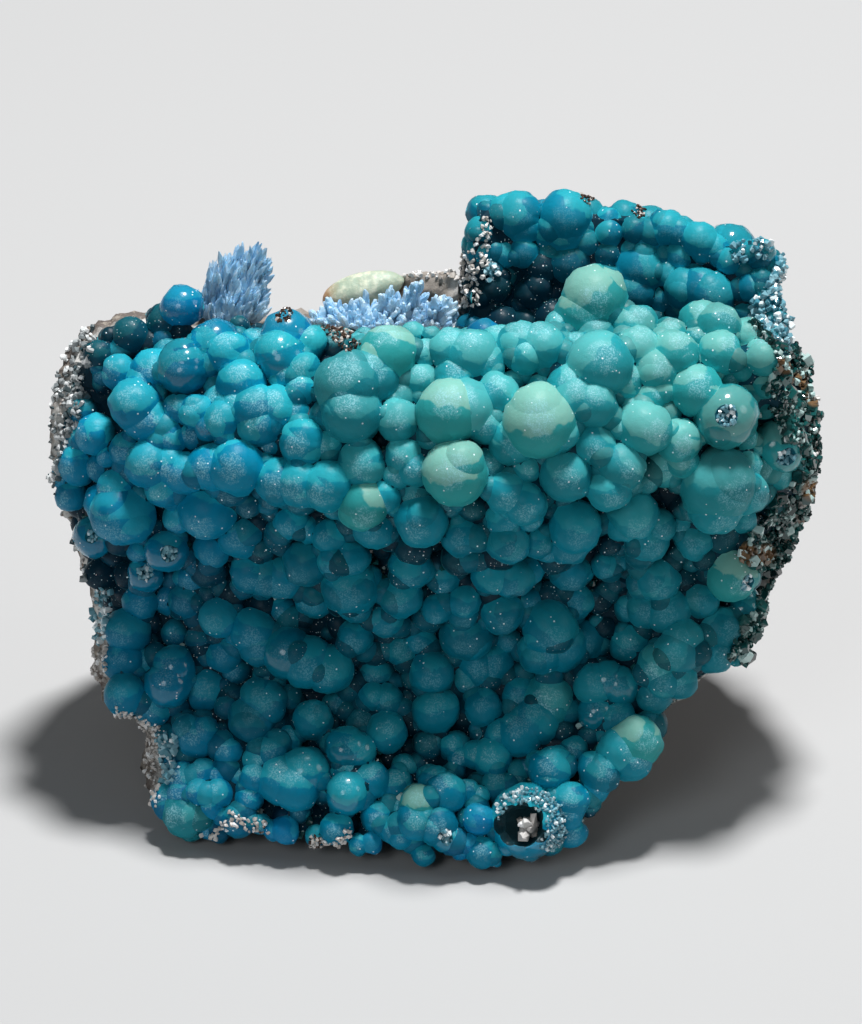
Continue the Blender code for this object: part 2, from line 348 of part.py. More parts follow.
def largest_body(obj):
    """Keeps the biggest connected body and drops loose crumbs."""
    bm = bmesh.new()
    bm.from_mesh(obj.data)
    left = set(bm.faces)
    bodies = []
    while left:
        seed = left.pop()
        body = {seed}
        stack = [seed]
        while stack:
            face = stack.pop()
            for edge in face.edges:
                for other in edge.link_faces:
                    if other in left:
                        left.discard(other)
                        body.add(other)
                        stack.append(other)
        bodies.append(body)
    bodies.sort(key=lambda body: sum(face.calc_area() for face in body), reverse=True)
    loose = [face for body in bodies[1:] for face in body]
    bmesh.ops.delete(bm, geom=loose, context="FACES")
    bmesh.ops.delete(bm, geom=[vert for vert in bm.verts if not vert.link_faces], context="VERTS")
    bmesh.ops.triangulate(bm, faces=bm.faces)
    bm.to_mesh(obj.data)
    bm.free()
    return len(bodies)


def hull_of(name, points):
    """The solid with flat faces that wraps these world points."""
    bm = bmesh.new()
    for point in points:
        bm.verts.new(point)
    hull = bmesh.ops.convex_hull(bm, input=bm.verts)
    inner = [item for item in hull["geom_interior"] if isinstance(item, bmesh.types.BMVert)]
    bmesh.ops.delete(bm, geom=inner, context="VERTS")
    bmesh.ops.triangulate(bm, faces=bm.faces)
    return object_from(name, bm)


def box_below(z_mm):
    """A large block whose top is at this height, for cutting a flat base."""
    bm = bmesh.new()
    bmesh.ops.create_cube(bm, size=0.2)
    bmesh.ops.translate(bm, verts=bm.verts, vec=(0.0, 0.0, z_mm * MM - 0.1))
    return object_from("ground_cutter", bm)


def lump(centre, radius_mm, squash=1.0):
    """One round lump of the crust."""
    bm = bmesh.new()
    bmesh.ops.create_icosphere(bm, subdivisions=3, radius=radius_mm * MM)
    bmesh.ops.scale(bm, vec=(1.0, 1.0, squash), verts=bm.verts)
    bmesh.ops.translate(bm, verts=bm.verts, vec=centre)
    return object_from("lump", bm)


def ring_points(edge, scale, below, flare=0.0):
    """World points of an outline drawn on the face, scaled towards its middle and sunk below its surface."""
    points = []
    for entry in edge:
        u = FACE_CENTRE[0] + (entry[0] - FACE_CENTRE[0]) * scale
        v = FACE_CENTRE[1] + (entry[1] - FACE_CENTRE[1]) * scale
        if flare and len(entry) > 2:
            away = Vector((entry[0] - FACE_CENTRE[0], entry[1] - FACE_CENTRE[1])).normalized()
            u += away.x * entry[2] * flare
            v += away.y * entry[2] * flare
        points.append(to_world(u, v, depth_at(u, v) - below))
    return points


def loft(name, rings, first_centre, last_centre):
    """A closed solid through rings of equal length, ended by a point at each side."""
    bm = bmesh.new()
    rows = [[bm.verts.new(point) for point in ring] for ring in rings]
    count = len(rows[0])
    for a, b in zip(rows, rows[1:]):
        for i in range(count):
            j = (i + 1) % count
            bm.faces.new((a[i], a[j], b[j], b[i]))
    for row, point in ((rows[0], first_centre), (rows[-1], last_centre)):
        tip = bm.verts.new(point)
        for i in range(count):
            bm.faces.new((row[i], row[(i + 1) % count], tip))
    bmesh.ops.triangulate(bm, faces=bm.faces)
    return object_from(name, bm)


def rough(points, amount_mm, seed):
    """Moves points about in a rock-like way, without sorting them by any direction."""
    moved = []
    for point in points:
        where = point / MM * 0.16 + Vector((seed, 0.0, 0.0))
        shake = noise.noise_vector(where) + 0.5 * noise.noise_vector(where * 2.7)
        moved.append(point + shake * amount_mm * MM)
    return moved


def trough_point(x, y, z):
    """A point of the hollow's (y, z) outline, lowered and brought forward towards the right end."""
    if z > WALL_FOOT_Z and y > 6.0:
        z = WALL_FOOT_Z + (z - WALL_FOOT_Z) * np.interp(x, WALL_X, WALL_HEIGHT)
    share = min(max((y - 3.0) / 6.0, 0.0), 1.0)
    return x, y - share * np.interp(x, WALL_X, WALL_FORWARD), z


def trough(name, outline, x_range, step, shake_mm, end_shake_mm, seed):
    """A solid that follows the hollow along x, with rough faces and broken ends."""
    bm = bmesh.new()
    count = max(2, int((x_range[1] - x_range[0]) / step))
    rows = []
    for i in range(count + 1):
        x = x_range[0] + (x_range[1] - x_range[0]) * i / count
        row = [stand_point(*trough_point(x, y, z)) for y, z in outline]
        strength = end_shake_mm if i in (0, count) else shake_mm
        for point in row:
            point.x += END_SLOPE * (1 - i / count) ** 2 * max(0.0, point.z - WALL_FOOT_Z * MM)
        rows.append([bm.verts.new(point) for point in rough(row, strength, seed)])
    for a, b in zip(rows, rows[1:]):
        for i in range(len(outline)):
            j = (i + 1) % len(outline)
            bm.faces.new((a[i], a[j], b[j], b[i]))
    bm.faces.new(rows[0])
    bm.faces.new(rows[-1])
    bmesh.ops.triangulate(bm, faces=bm.faces)
    return object_from(name, bm)


def chunk(name, centre, half, corners, seed):
    """A rough lump of rock with flat broken faces: the hull of scattered corners."""
    rng = random.Random(seed)
    points = []
    for _ in range(corners):
        way = Vector((rng.gauss(0, 1), rng.gauss(0, 1), rng.gauss(0, 1))).normalized()
        way *= rng.uniform(0.86, 1.0)
        squared = Vector([math.copysign(abs(c) ** 0.6, c) for c in way])
        points.append(stand_point(*[m + h * c for m, h, c in zip(centre, half, squared)]))
    return hull_of(name, points)


def build_rock(crust):
    """The host rock: a flared block behind the crust, rough at the back and flat underneath."""
    rings = []
    for scale in (0.3, 0.62, 0.86):
        rings.append(ring_points(ROCK_EDGE, scale, 5.0))
    front = ring_points(ROCK_EDGE, 1.0, 4.4)
    rings.append(front)
    back = []
    for point in front:
        back.append(Vector((point.x * 0.84, ROCK_BACK_Y * MM, point.z * 0.86 - 4.0 * MM)))
    for step in range(1, ROCK_RINGS + 1):
        t = step / ROCK_RINGS
        ring = []
        for a, b in zip(front, back):
            drop = t * t if a.z > 30 * MM else t
            ring.append(Vector((a.x + (b.x - a.x) * t * t, a.y + (b.y - a.y) * t, a.z + (b.z - a.z) * drop)))
        rings.append(rough(ring, 1.5, 3.0))
    middle = sum(back, Vector()) / len(back)
    for scale in (0.7, 0.36):
        ring = [middle + (point - middle) * scale + Vector((0.0, 1.0 * MM, 0.0)) for point in back]
        rings.append(rough(ring, 1.6, 9.0))
    start = to_world(*FACE_CENTRE, depth_at(*FACE_CENTRE) - 5.0)
    rock = loft("matrix_rock", rings, start, middle + Vector((0.0, 1.4 * MM, 0.0)))
    hollow = trough("hollow_cutter", HOLLOW_CUT, HOLLOW_CUT_X, 6.0, 1.0, 2.4, 5.0)
    # The exact solver loses the whole rock on this cut, so it uses the manifold solver.
    boolean(rock, hollow, "DIFFERENCE", solver="MANIFOLD")
    envelope = [stand_point(*corner) for corner in ROCK_BACK + ROCK_FRONT]
    boolean(rock, hull_of("broken_back", envelope), "INTERSECT")
    for seed, (name, centre, half, corners) in enumerate(ROCK_CHUNKS):
        boolean(rock, chunk(name, centre, half, corners, seed + 21), "UNION")
    for seed, (centre, half, corners) in enumerate(ROCK_CHIPS):
        boolean(rock, chunk("chip", centre, half, corners, seed + 51), "DIFFERENCE")
    boolean(rock, box_below(0.0), "DIFFERENCE")
    cut_clear(rock, [crust])
    return rock


def front_lumps():
    """Every lump read from the face, as (centre, radius)."""
    found = []
    for group in (TOP_LEFT, LEFT, RIDGE_LEFT, RIDGE_CENTRE, RIDGE_RIGHT, VALLEY_CENTRE, VALLEY_LEFT,
                  RIM_LEFT, RIM_RIGHT, [OPEN_LUMP]):
        for u, v, radius, lift in group:
            found.append((to_world(u, v, depth_at(u, v) + lift), radius))
    for u, v, radius, lift in BACK_WALL:
        forward = np.interp(u, WALL_X, WALL_FORWARD)
        found.append((to_world(u, v, BACK_WALL_W + forward + lift), radius))
    return found


def inside(edge, u, v):
    """Whether a picture point lies inside an outline."""
    hit = False
    for a, b in zip(edge, edge[1:] + edge[:1]):
        if (a[1] > v) != (b[1] > v) and u < (b[0] - a[0]) * (v - a[1]) / (b[1] - a[1]) + a[0]:
            hit = not hit
    return hit


def filler_lumps(lumps):
    """Smaller lumps that fill the gaps, on the face and round the hollow, none of them read one by one."""
    rng = random.Random(5)
    found = []

    def fits(centre, radius):
        near = lumps + found
        return all((centre - other).length > (radius * 0.62 + size * 0.72) * MM for other, size in near)

    for _ in range(2600):
        u = rng.uniform(-33.0, 33.0)
        v = rng.uniform(2.0, 48.0)
        radius = rng.uniform(1.0, 1.7)
        centre = to_world(u, v, depth_at(u, v) - 0.9)
        if inside(CRUST_EDGE, u, v) and fits(centre, radius):
            found.append((centre, radius))
    for _ in range(500):
        u = rng.uniform(-29.0, 30.0)
        radius = rng.uniform(1.1, 1.8)
        centre = to_world(u, rng.uniform(46.4, 47.8), depth_at(u, 47.0) - rng.uniform(1.5, 4.6))
        if fits(centre, radius):
            found.append((centre, radius))
    lengths = [math.dist(a, b) for a, b in zip(HOLLOW_SKIN, HOLLOW_SKIN[1:])]
    for _ in range(1400):
        along = rng.uniform(0.0, sum(lengths))
        x = rng.uniform(HOLLOW_X[0] + 2.4, HOLLOW_X[1] - 0.5)
        radius = rng.uniform(1.1, 1.9)
        i = 0
        while along > lengths[i]:
            along -= lengths[i]
            i += 1
        share = along / lengths[i]
        y = HOLLOW_SKIN[i][0] + (HOLLOW_SKIN[i + 1][0] - HOLLOW_SKIN[i][0]) * share
        z = HOLLOW_SKIN[i][1] + (HOLLOW_SKIN[i + 1][1] - HOLLOW_SKIN[i][1]) * share
        centre = stand_point(*trough_point(x, y, z - 0.5))
        if fits(centre, radius):
            found.append((centre, radius))
    return found


def build_crust():
    """The lumpy crust: round lumps on a sheet that lies over the rock, grown together as one mass."""
    lumps = front_lumps()
    lumps += filler_lumps(lumps)
    rings = [ring_points(CRUST_EDGE, scale, 1.4) for scale in (0.3, 0.62, 0.86, 1.0)]
    rings += [ring_points(CRUST_EDGE, 1.0, 4.2, flare=1.0)]
    rings += [ring_points(CRUST_EDGE, scale, 6.4) for scale in (0.97, 0.8, 0.5, 0.25)]
    u, v = FACE_CENTRE
    sheet = loft("sheet", rings, to_world(u, v, depth_at(u, v) - 1.4), to_world(u, v, depth_at(u, v) - 6.4))
    skin = trough("hollow_skin", HOLLOW_SKIN + HOLLOW_UNDER, HOLLOW_X, 2.4, 0.9, 1.7, 11.0)
    parts = [sheet, skin]
    for centre, radius in lumps:
        parts.append(lump(centre, radius, 0.96))
    crust = join_shells("botryoidal_crust", parts)
    remesh(crust, CRUST_VOXEL, CRUST_TRIANGLES)
    u, v, radius, lift = OPEN_LUMP_HOLLOW
    boolean(crust, lump(to_world(u, v, depth_at(u, v) + lift), radius), "DIFFERENCE")
    boolean(crust, box_below(0.4), "DIFFERENCE")
    largest_body(crust)
    return crust


def crystal(base, tip, width, thick, turn, seed):
    """One blunt crystal with flat faces: five sides that narrow to a short wedge."""
    rng = random.Random(seed)
    base = Vector(base)
    tip = Vector(tip)
    axis = (tip - base).normalized()
    side = axis.cross(Vector((math.cos(turn), math.sin(turn), 0.2))).normalized()
    front = axis.cross(side)
    points = []
    for share, size in ((0.0, 0.8), (0.78, 1.0), (1.0, 0.42)):
        for k in range(5):
            angle = math.tau * k / 5 + 0.2
            grow = size * rng.uniform(0.92, 1.06)
            point = base + (tip - base) * share
            point += side * math.cos(angle) * width * grow + front * math.sin(angle) * thick * grow
            points.append(stand_point(*point))
    return hull_of("crystal", points)


def united(name, parts):
    """Joins overlapping solids one after another."""
    first = parts[0]
    for part in parts[1:]:
        boolean(first, part, "UNION")
    first.name = name
    first.data.name = name
    return first


def build_left_spray():
    """A fan of blunt crystals, widest at the top, behind the left end of the ridge."""
    root = Vector((-18.2, 9.8, 35.6))
    tips = [
        ((-20.6, 10.4, 41.4), 1.0), ((-19.6, 10.8, 43.6), 1.2), ((-18.4, 10.2, 44.9), 1.2),
        ((-17.2, 10.8, 45.6), 1.2), ((-15.9, 10.4, 45.9), 1.1), ((-15.2, 11.0, 44.2), 0.9),
        ((-16.6, 9.0, 43.2), 1.1), ((-18.0, 8.6, 42.6), 1.1), ((-19.6, 8.8, 41.2), 1.0),
        ((-15.6, 9.4, 41.9), 0.9), ((-17.2, 12.2, 43.6), 1.2), ((-19.0, 12.2, 42.2), 1.1),
        ((-14.5, 9.6, 40.6), 0.8),
    ]
    parts = []
    for seed, (tip, width) in enumerate(tips):
        base = root + (Vector(tip) - root) * 0.12 + Vector((0.0, 0.0, -0.6))
        parts.append(crystal(base, tip, width, width * 0.62, 0.5 * seed, seed))
    return united("pale_blue_crystals_left", parts)


def build_centre_crystals():
    """A low crust of stubby crystals on the rock behind the middle of the ridge."""
    rng = random.Random(12)
    parts = [chunk("crystal_bed", (-4.7, 8.9, 39.5), (6.0, 1.7, 1.3), 26, 44)]
    spots = [
        (-10.2, 8.6, 40.6, 0.8), (-8.8, 9.8, 41.0, 0.9), (-7.4, 8.8, 41.2, 1.0), (-6.1, 9.6, 41.7, 0.9),
        (-5.0, 8.6, 40.6, 0.8), (-3.9, 9.4, 42.1, 1.0), (-2.5, 9.2, 41.8, 0.9), (-1.5, 9.8, 43.0, 0.8),
        (-0.7, 9.0, 41.0, 0.7), (0.2, 9.4, 41.6, 0.8), (1.0, 9.2, 42.2, 0.7),
    ]
    for seed, (x, y, z, width) in enumerate(spots):
        lean = rng.uniform(-0.5, 0.5)
        parts.append(crystal((x * 0.94 - lean, y, 37.0), (x, y, z), width, width * 0.8, 0.7 * seed, seed + 60))
    return united("pale_blue_crystals_centre", parts)


def build_sage_lump():
    """A smooth long lump lying behind the middle crystals."""
    bm = bmesh.new()
    bmesh.ops.create_icosphere(bm, subdivisions=2, radius=1.0)
    for vert in bm.verts:
        along = vert.co.x
        vert.co.x = along * 3.9
        vert.co.y *= 1.8 * (1.0 - 0.12 * along)
        vert.co.z = vert.co.z * 1.7 * (1.0 - 0.1 * along) + along * 1.1
        vert.co += noise.noise_vector(vert.co * 0.5) * 0.25
        vert.co = stand_point(*(vert.co + Vector((-6.2, 14.0, 40.6))))
    return object_from("sage_green_lump", bm)


def material(name, colour, roughness):
    made = bpy.data.materials.new(name)
    made.use_nodes = True
    shader = made.node_tree.nodes["Principled BSDF"]
    shader.inputs["Base Color"].default_value = (*colour, 1.0)
    shader.inputs["Roughness"].default_value = roughness
    shader.inputs["Metallic"].default_value = 0.0
    return made


def centre_on_origin(pieces):
    """Moves all the pieces together, so that the middle of the base's outline box is the origin."""
    points = np.array([vert.co for obj in pieces for vert in obj.data.vertices])
    low = points.min(axis=0)
    high = points.max(axis=0)
    move = Vector((-(low[0] + high[0]) / 2, -(low[1] + high[1]) / 2, -low[2]))
    print("size, mm", ((high - low) / MM).round(2), "moved by, mm", [round(c / MM, 4) for c in move])
    for obj in pieces:
        for vert in obj.data.vertices:
            vert.co += move
        obj.data.calc_loop_triangles()
        own = np.array([vert.co for vert in obj.data.vertices]) / MM
        print(obj.name, len(obj.data.loop_triangles), own.min(axis=0).round(2), own.max(axis=0).round(2))


def main():
    for obj in list(bpy.data.objects):
        bpy.data.objects.remove(obj, do_unlink=True)
    noise.seed_set(7)
    crust = build_crust()
    rock = build_rock(crust)
    sage = build_sage_lump()
    cut_clear(sage, [rock])
    spray = build_left_spray()
    cut_clear(spray, [rock, crust])
    crystals = build_centre_crystals()
    cut_clear(crystals, [rock, crust, sage])
    looks = (
        (rock, "rock", (0.36, 0.32, 0.28), 0.85),
        (crust, "plumbogummite", (0.06, 0.33, 0.38), 0.35),
        (spray, "pale_blue_left", (0.34, 0.52, 0.66), 0.5),
        (crystals, "pale_blue_centre", (0.36, 0.52, 0.66), 0.5),
        (sage, "sage", (0.52, 0.58, 0.48), 0.5),
    )
    for obj, name, colour, roughness in looks:
        obj.data.materials.clear()
        obj.data.materials.append(material(name, colour, roughness))
    centre_on_origin([obj for obj, _, _, _ in looks])


main()
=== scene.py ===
# %% [markdown]
# # Plumbogummite on its rock
#
# This script dresses a mineral specimen: a broken piece of rock, about 70 mm wide, with a thick crust of
# blue-green lumps. Its solids are already packed and load as a fixed frame. The script replaces each of
# them with a finer mesh of the same form, and gives every surface a material made of nodes.

# %% Load the frame
import json
import math
import random

import bmesh
import bpy
import numpy as np
from mathutils import Euler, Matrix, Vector, noise
from mathutils.bvhtree import BVHTree

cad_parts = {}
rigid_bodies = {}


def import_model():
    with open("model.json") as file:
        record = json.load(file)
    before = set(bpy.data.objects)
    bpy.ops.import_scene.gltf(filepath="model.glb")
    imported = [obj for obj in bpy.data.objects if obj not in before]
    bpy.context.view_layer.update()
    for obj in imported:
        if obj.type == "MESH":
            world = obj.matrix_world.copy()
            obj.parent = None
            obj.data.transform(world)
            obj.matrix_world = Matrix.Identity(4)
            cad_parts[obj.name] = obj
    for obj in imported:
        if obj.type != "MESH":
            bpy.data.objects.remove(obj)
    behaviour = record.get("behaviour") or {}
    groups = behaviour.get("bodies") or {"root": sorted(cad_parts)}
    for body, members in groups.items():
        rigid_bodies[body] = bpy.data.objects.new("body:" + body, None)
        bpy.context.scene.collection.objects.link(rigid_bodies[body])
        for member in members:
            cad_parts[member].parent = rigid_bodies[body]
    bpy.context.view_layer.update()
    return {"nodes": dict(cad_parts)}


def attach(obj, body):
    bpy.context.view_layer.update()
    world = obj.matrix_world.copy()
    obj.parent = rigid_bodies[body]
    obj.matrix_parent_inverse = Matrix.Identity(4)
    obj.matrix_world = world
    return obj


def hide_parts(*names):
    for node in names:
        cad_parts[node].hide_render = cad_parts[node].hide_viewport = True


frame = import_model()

MM = 0.001
noise.seed_set(7)
print("nodes:", ", ".join(sorted(frame["nodes"])))

# %% [markdown]
# ## Places on the specimen
#
# Collectors judge a specimen from its best side, so every lump is placed as that side shows it: u mm to
# the right, v mm up in the picture and w mm towards the viewer, who looks down at 30 degrees. The crust
# isn't flat, so a small table says how far it stands forward. One function turns such a place into the
# frame's own coordinates. The alternative, typing x, y and z for each lump, would be hard to check by eye.

# %% From picture places to the frame
VIEW_ELEVATION = math.radians(30.0)
SIN_E = math.sin(VIEW_ELEVATION)
COS_E = math.cos(VIEW_ELEVATION)
FLOOR_V = 10.0
CENTRING = (-0.2302, 0.2515, 0.0)  # mm, the same small shift that centres the solids on the origin
TO_VIEWER = Vector((0.0, -COS_E, SIN_E))

DEPTH_U = (-34.0, -26.0, -16.0, -6.0, 4.0, 14.0, 24.0, 34.0)
DEPTH_V = (0.0, 5.0, 10.0, 15.0, 20.0, 25.0, 30.0, 35.0, 40.0, 45.0, 50.0)
DEPTH_W = np.array([
    (8.0, 12.0, 15.0, 18.0, 19.0, 18.0, 12.0, 6.0),
    (8.0, 13.0, 17.5, 18.5, 19.0, 18.5, 13.0, 7.0),
    (8.0, 13.0, 16.0, 16.5, 16.5, 18.0, 14.0, 8.0),
    (9.0, 13.5, 14.5, 15.0, 15.0, 16.0, 16.0, 9.0),
    (9.0, 12.5, 15.0, 16.0, 16.5, 16.0, 17.5, 11.0),
    (10.0, 13.5, 16.5, 19.0, 20.0, 17.5, 17.5, 13.0),
    (12.0, 17.0, 20.0, 23.5, 25.0, 22.5, 20.0, 15.0),
    (14.0, 20.0, 23.5, 26.0, 27.0, 26.0, 23.0, 16.0),
    (15.0, 20.5, 24.0, 26.5, 27.0, 27.0, 24.0, 17.0),
    (14.5, 19.0, 22.0, 24.5, 25.0, 25.5, 23.0, 16.0),
    (13.0, 16.0, 18.0, 20.0, 20.5, 21.0, 20.0, 15.0),
])


def depth_at(u, v):
    """How far the crust's mean surface stands towards the viewer, in mm, for one place or an array."""
    column = np.interp(u, DEPTH_U, range(len(DEPTH_U)))
    row = np.interp(v, DEPTH_V, range(len(DEPTH_V)))
    i = np.minimum(np.int_(row), len(DEPTH_V) - 2)
    j = np.minimum(np.int_(column), len(DEPTH_U) - 2)
    fu = column - j
    fv = row - i
    fu = fu * fu * (3 - 2 * fu)
    fv = fv * fv * (3 - 2 * fv)
    low = DEPTH_W[i, j] * (1 - fu) + DEPTH_W[i, j + 1] * fu
    high = DEPTH_W[i + 1, j] * (1 - fu) + DEPTH_W[i + 1, j + 1] * fu
    return low * (1 - fv) + high * fv


def stand_point(x, y, z):
    """Millimetres on the stand to metres in the frame."""
    return (Vector((x, y, z)) + Vector(CENTRING)) * MM


def to_world(u, v, w):
    """Picture millimetres to metres in the frame."""
    rise = v - FLOOR_V
    return stand_point(u, rise * SIN_E - w * COS_E, rise * COS_E + w * SIN_E)


def picture_place(point):
    """The picture place (u, v, w) of a point in the frame, or of an array of points."""
    x, y, z = (np.asarray(point) / MM - CENTRING).T
    return x, FLOOR_V + y * SIN_E + z * COS_E, z * SIN_E - y * COS_E


def outward_at(u, v):
    """The way the crust's mean surface faces at a picture place."""
    step = 0.5
    du = (depth_at(u + step, v) - depth_at(u - step, v)) / (2 * step)
    dv = (depth_at(u, v + step) - depth_at(u, v - step)) / (2 * step)
    rise = -dv
    return Vector((-du, rise * SIN_E - COS_E, rise * COS_E + SIN_E)).normalized()


print("middle of the face, mm:", [round(c / MM, 1) for c in to_world(1.0, 27.0, depth_at(1.0, 27.0))])

# %% [markdown]
# ## The lumps, read one by one
#
# The mineral grew outwards from many points at once, so each lump is close to a ball and neighbours meet
# in sharp seams. Scattering balls at random would give the right texture and the wrong specimen, so the
# visible ones are listed: u, v, radius and lift, the last being how far a lump stands out of the crust's
# mean surface, all in mm. Only the gaps between them are filled at random, further down.

# %% The lumps of the face
TOP_LEFT = [
    (-22.4, 50.5, 1.8, 1.0), (-23.8, 49.2, 1.7, 0.0), (-27.0, 48.0, 1.5, 0.0), (-28.9, 47.8, 0.9, -0.5),
    (-29.9, 46.2, 1.3, 0.0), (-28.0, 44.6, 1.5, -0.3), (-22.2, 45.0, 2.3, 0.8), (-25.0, 44.8, 1.8, 0.0),
    (-25.6, 44.0, 1.6, 0.0), (-19.4, 47.2, 2.1, 0.3), (-18.2, 46.3, 1.9, 0.2), (-17.2, 48.7, 0.9, -0.8),
]
LEFT = [
    (-26.6, 41.7, 2.1, 0.7), (-25.5, 40.3, 1.9, 0.0), (-30.2, 39.0, 1.7, 0.2), (-31.8, 36.3, 1.7, 0.2),
    (-33.0, 35.2, 1.1, -0.3), (-32.4, 33.5, 1.4, -0.2), (-27.7, 31.7, 2.6, 1.0), (-28.3, 34.2, 1.5, 0.0),
    (-29.3, 32.6, 1.9, 0.2), (-23.5, 36.3, 1.7, 0.3), (-25.2, 36.3, 2.0, 0.6), (-22.0, 35.5, 1.9, 0.0),
    (-23.3, 38.6, 1.6, -0.3), (-24.0, 34.2, 1.6, 0.0), (-19.7, 36.0, 2.0, 0.6), (-17.3, 36.0, 2.3, 0.8),
    (-20.0, 32.1, 2.4, 0.0), (-22.6, 31.6, 1.4, -0.4), (-30.5, 29.8, 1.7, 0.0), (-26.3, 28.6, 1.0, -0.5),
    (-23.7, 28.4, 1.8, 0.6), (-25.7, 26.4, 1.5, 0.5), (-19.6, 28.8, 1.6, -1.0), (-17.3, 29.8, 1.7, -0.8),
    (-21.5, 26.3, 1.6, -1.2), (-28.9, 37.0, 1.0, -0.4), (-22.6, 41.3, 1.3, 0.0), (-20.8, 41.0, 1.5, 0.3),
    (-18.5, 40.3, 1.6, 0.3), (-19.9, 39.7, 1.3, 0.0),
]
RIDGE_LEFT = [
    (-12.9, 47.9, 2.2, 0.8), (-13.3, 45.9, 2.3, 0.0), (-10.8, 47.2, 1.4, 0.0), (-16.9, 43.6, 1.9, 0.6),
    (-15.6, 41.2, 2.1, 0.3), (-13.9, 41.3, 1.9, 0.2), (-15.3, 40.0, 2.0, 0.0), (-17.2, 41.5, 1.5, 0.0),
    (-12.7, 44.2, 1.4, 0.2), (-11.3, 44.6, 1.5, 0.3), (-11.5, 43.0, 1.4, 0.2), (-7.4, 43.4, 2.8, 1.5),
    (-5.6, 43.9, 2.5, 0.8), (-7.0, 41.0, 2.5, 0.8), (-3.9, 46.2, 2.5, 0.8), (-12.0, 40.8, 1.2, -0.4),
    (-11.4, 38.3, 2.0, 0.4), (-14.4, 38.1, 1.1, -0.5), (-9.3, 38.0, 1.4, -0.2), (-13.6, 34.8, 2.0, 0.6),
    (-11.6, 34.6, 2.1, 0.8), (-9.3, 34.3, 2.1, 0.8), (-6.2, 36.4, 2.0, 0.0), (-2.9, 40.2, 1.8, 0.2),
    (-2.4, 37.0, 1.6, 0.0), (-3.0, 35.3, 1.3, -0.2), (-1.5, 35.9, 1.6, 0.1), (-6.0, 32.6, 2.1, 1.2),
    (-4.2, 33.3, 1.4, 0.5), (-0.9, 31.2, 2.2, 1.0),
]
RIDGE_CENTRE = [
    (2.1, 35.5, 2.8, 1.3), (1.6, 41.0, 2.8, 0.8), (3.0, 41.3, 2.4, 0.6), (0.3, 38.8, 1.5, -0.3),
    (-0.5, 46.0, 1.5, -0.2), (-0.8, 43.8, 1.6, -0.3), (-1.6, 47.9, 1.1, -0.5), (0.0, 47.7, 0.9, -0.4),
    (1.9, 46.4, 2.0, 0.4), (3.6, 46.0, 2.3, 0.3), (4.8, 45.3, 1.7, 0.0), (2.1, 44.1, 1.7, 0.4),
    (5.9, 42.4, 1.9, 0.3), (4.9, 39.8, 1.6, 0.0), (9.6, 40.0, 3.0, 1.4), (7.3, 38.4, 2.0, 0.3),
    (11.0, 39.2, 2.0, 0.8), (8.0, 46.9, 2.1, 0.3), (9.8, 46.7, 2.2, 0.3), (8.5, 45.9, 1.4, 0.6),
    (6.0, 47.2, 1.5, -0.2), (11.3, 46.2, 1.2, 0.0), (14.6, 51.2, 2.7, -0.5), (13.8, 49.9, 2.4, -0.5),
    (11.4, 48.6, 1.3, -0.8), (18.2, 48.6, 2.0, -0.5), (15.0, 45.2, 2.6, 0.8), (12.3, 43.2, 1.9, 0.5),
    (12.9, 42.0, 2.1, 0.6), (14.4, 41.7, 2.0, 0.5), (17.0, 43.7, 1.8, -0.8), (12.0, 35.3, 2.1, 0.5),
    (16.9, 36.0, 2.0, 0.8), (15.9, 34.0, 1.8, 0.8), (6.6, 33.7, 1.7, 0.5), (8.2, 32.8, 1.9, 0.8),
    (8.5, 35.8, 1.2, -0.2), (14.5, 38.0, 1.8, 0.0), (16.8, 39.6, 1.2, -0.2),
]
RIDGE_RIGHT = [
    (19.0, 39.5, 2.3, 0.6), (22.1, 38.3, 1.9, 0.6), (19.7, 42.4, 1.4, -0.4), (21.7, 46.2, 2.1, 0.4),
    (18.5, 46.6, 1.9, 0.0), (20.0, 44.7, 1.9, 0.1), (25.9, 46.3, 1.9, 0.4), (25.7, 48.6, 2.0, -0.2),
    (28.6, 47.6, 1.8, 0.2), (29.3, 45.0, 1.3, 0.0), (23.7, 42.9, 2.2, 0.6), (26.5, 40.6, 2.6, 1.2),
    (31.2, 38.0, 2.2, 0.5), (30.8, 42.0, 1.5, 0.0), (25.4, 32.3, 2.2, 1.0), (28.2, 33.8, 1.9, 0.9),
    (25.7, 34.4, 3.2, 0.0), (21.3, 47.9, 1.5, -0.5), (24.2, 49.2, 1.7, -0.9), (30.8, 47.5, 1.3, -0.2),
    (27.8, 31.4, 1.3, 0.0), (28.0, 36.1, 1.5, 0.0), (31.0, 35.4, 1.3, -0.4), (23.5, 29.5, 1.6, -0.5),
    (27.2, 26.4, 2.2, 1.0), (20.5, 36.0, 1.6, -1.0), (22.5, 36.6, 1.5, 0.5), (18.1, 31.9, 2.1, 0.0),
    (17.2, 30.9, 1.5, 0.0), (20.2, 30.7, 1.6, 0.3), (19.3, 29.3, 1.8, 0.0), (22.2, 31.0, 1.3, -0.8),
]
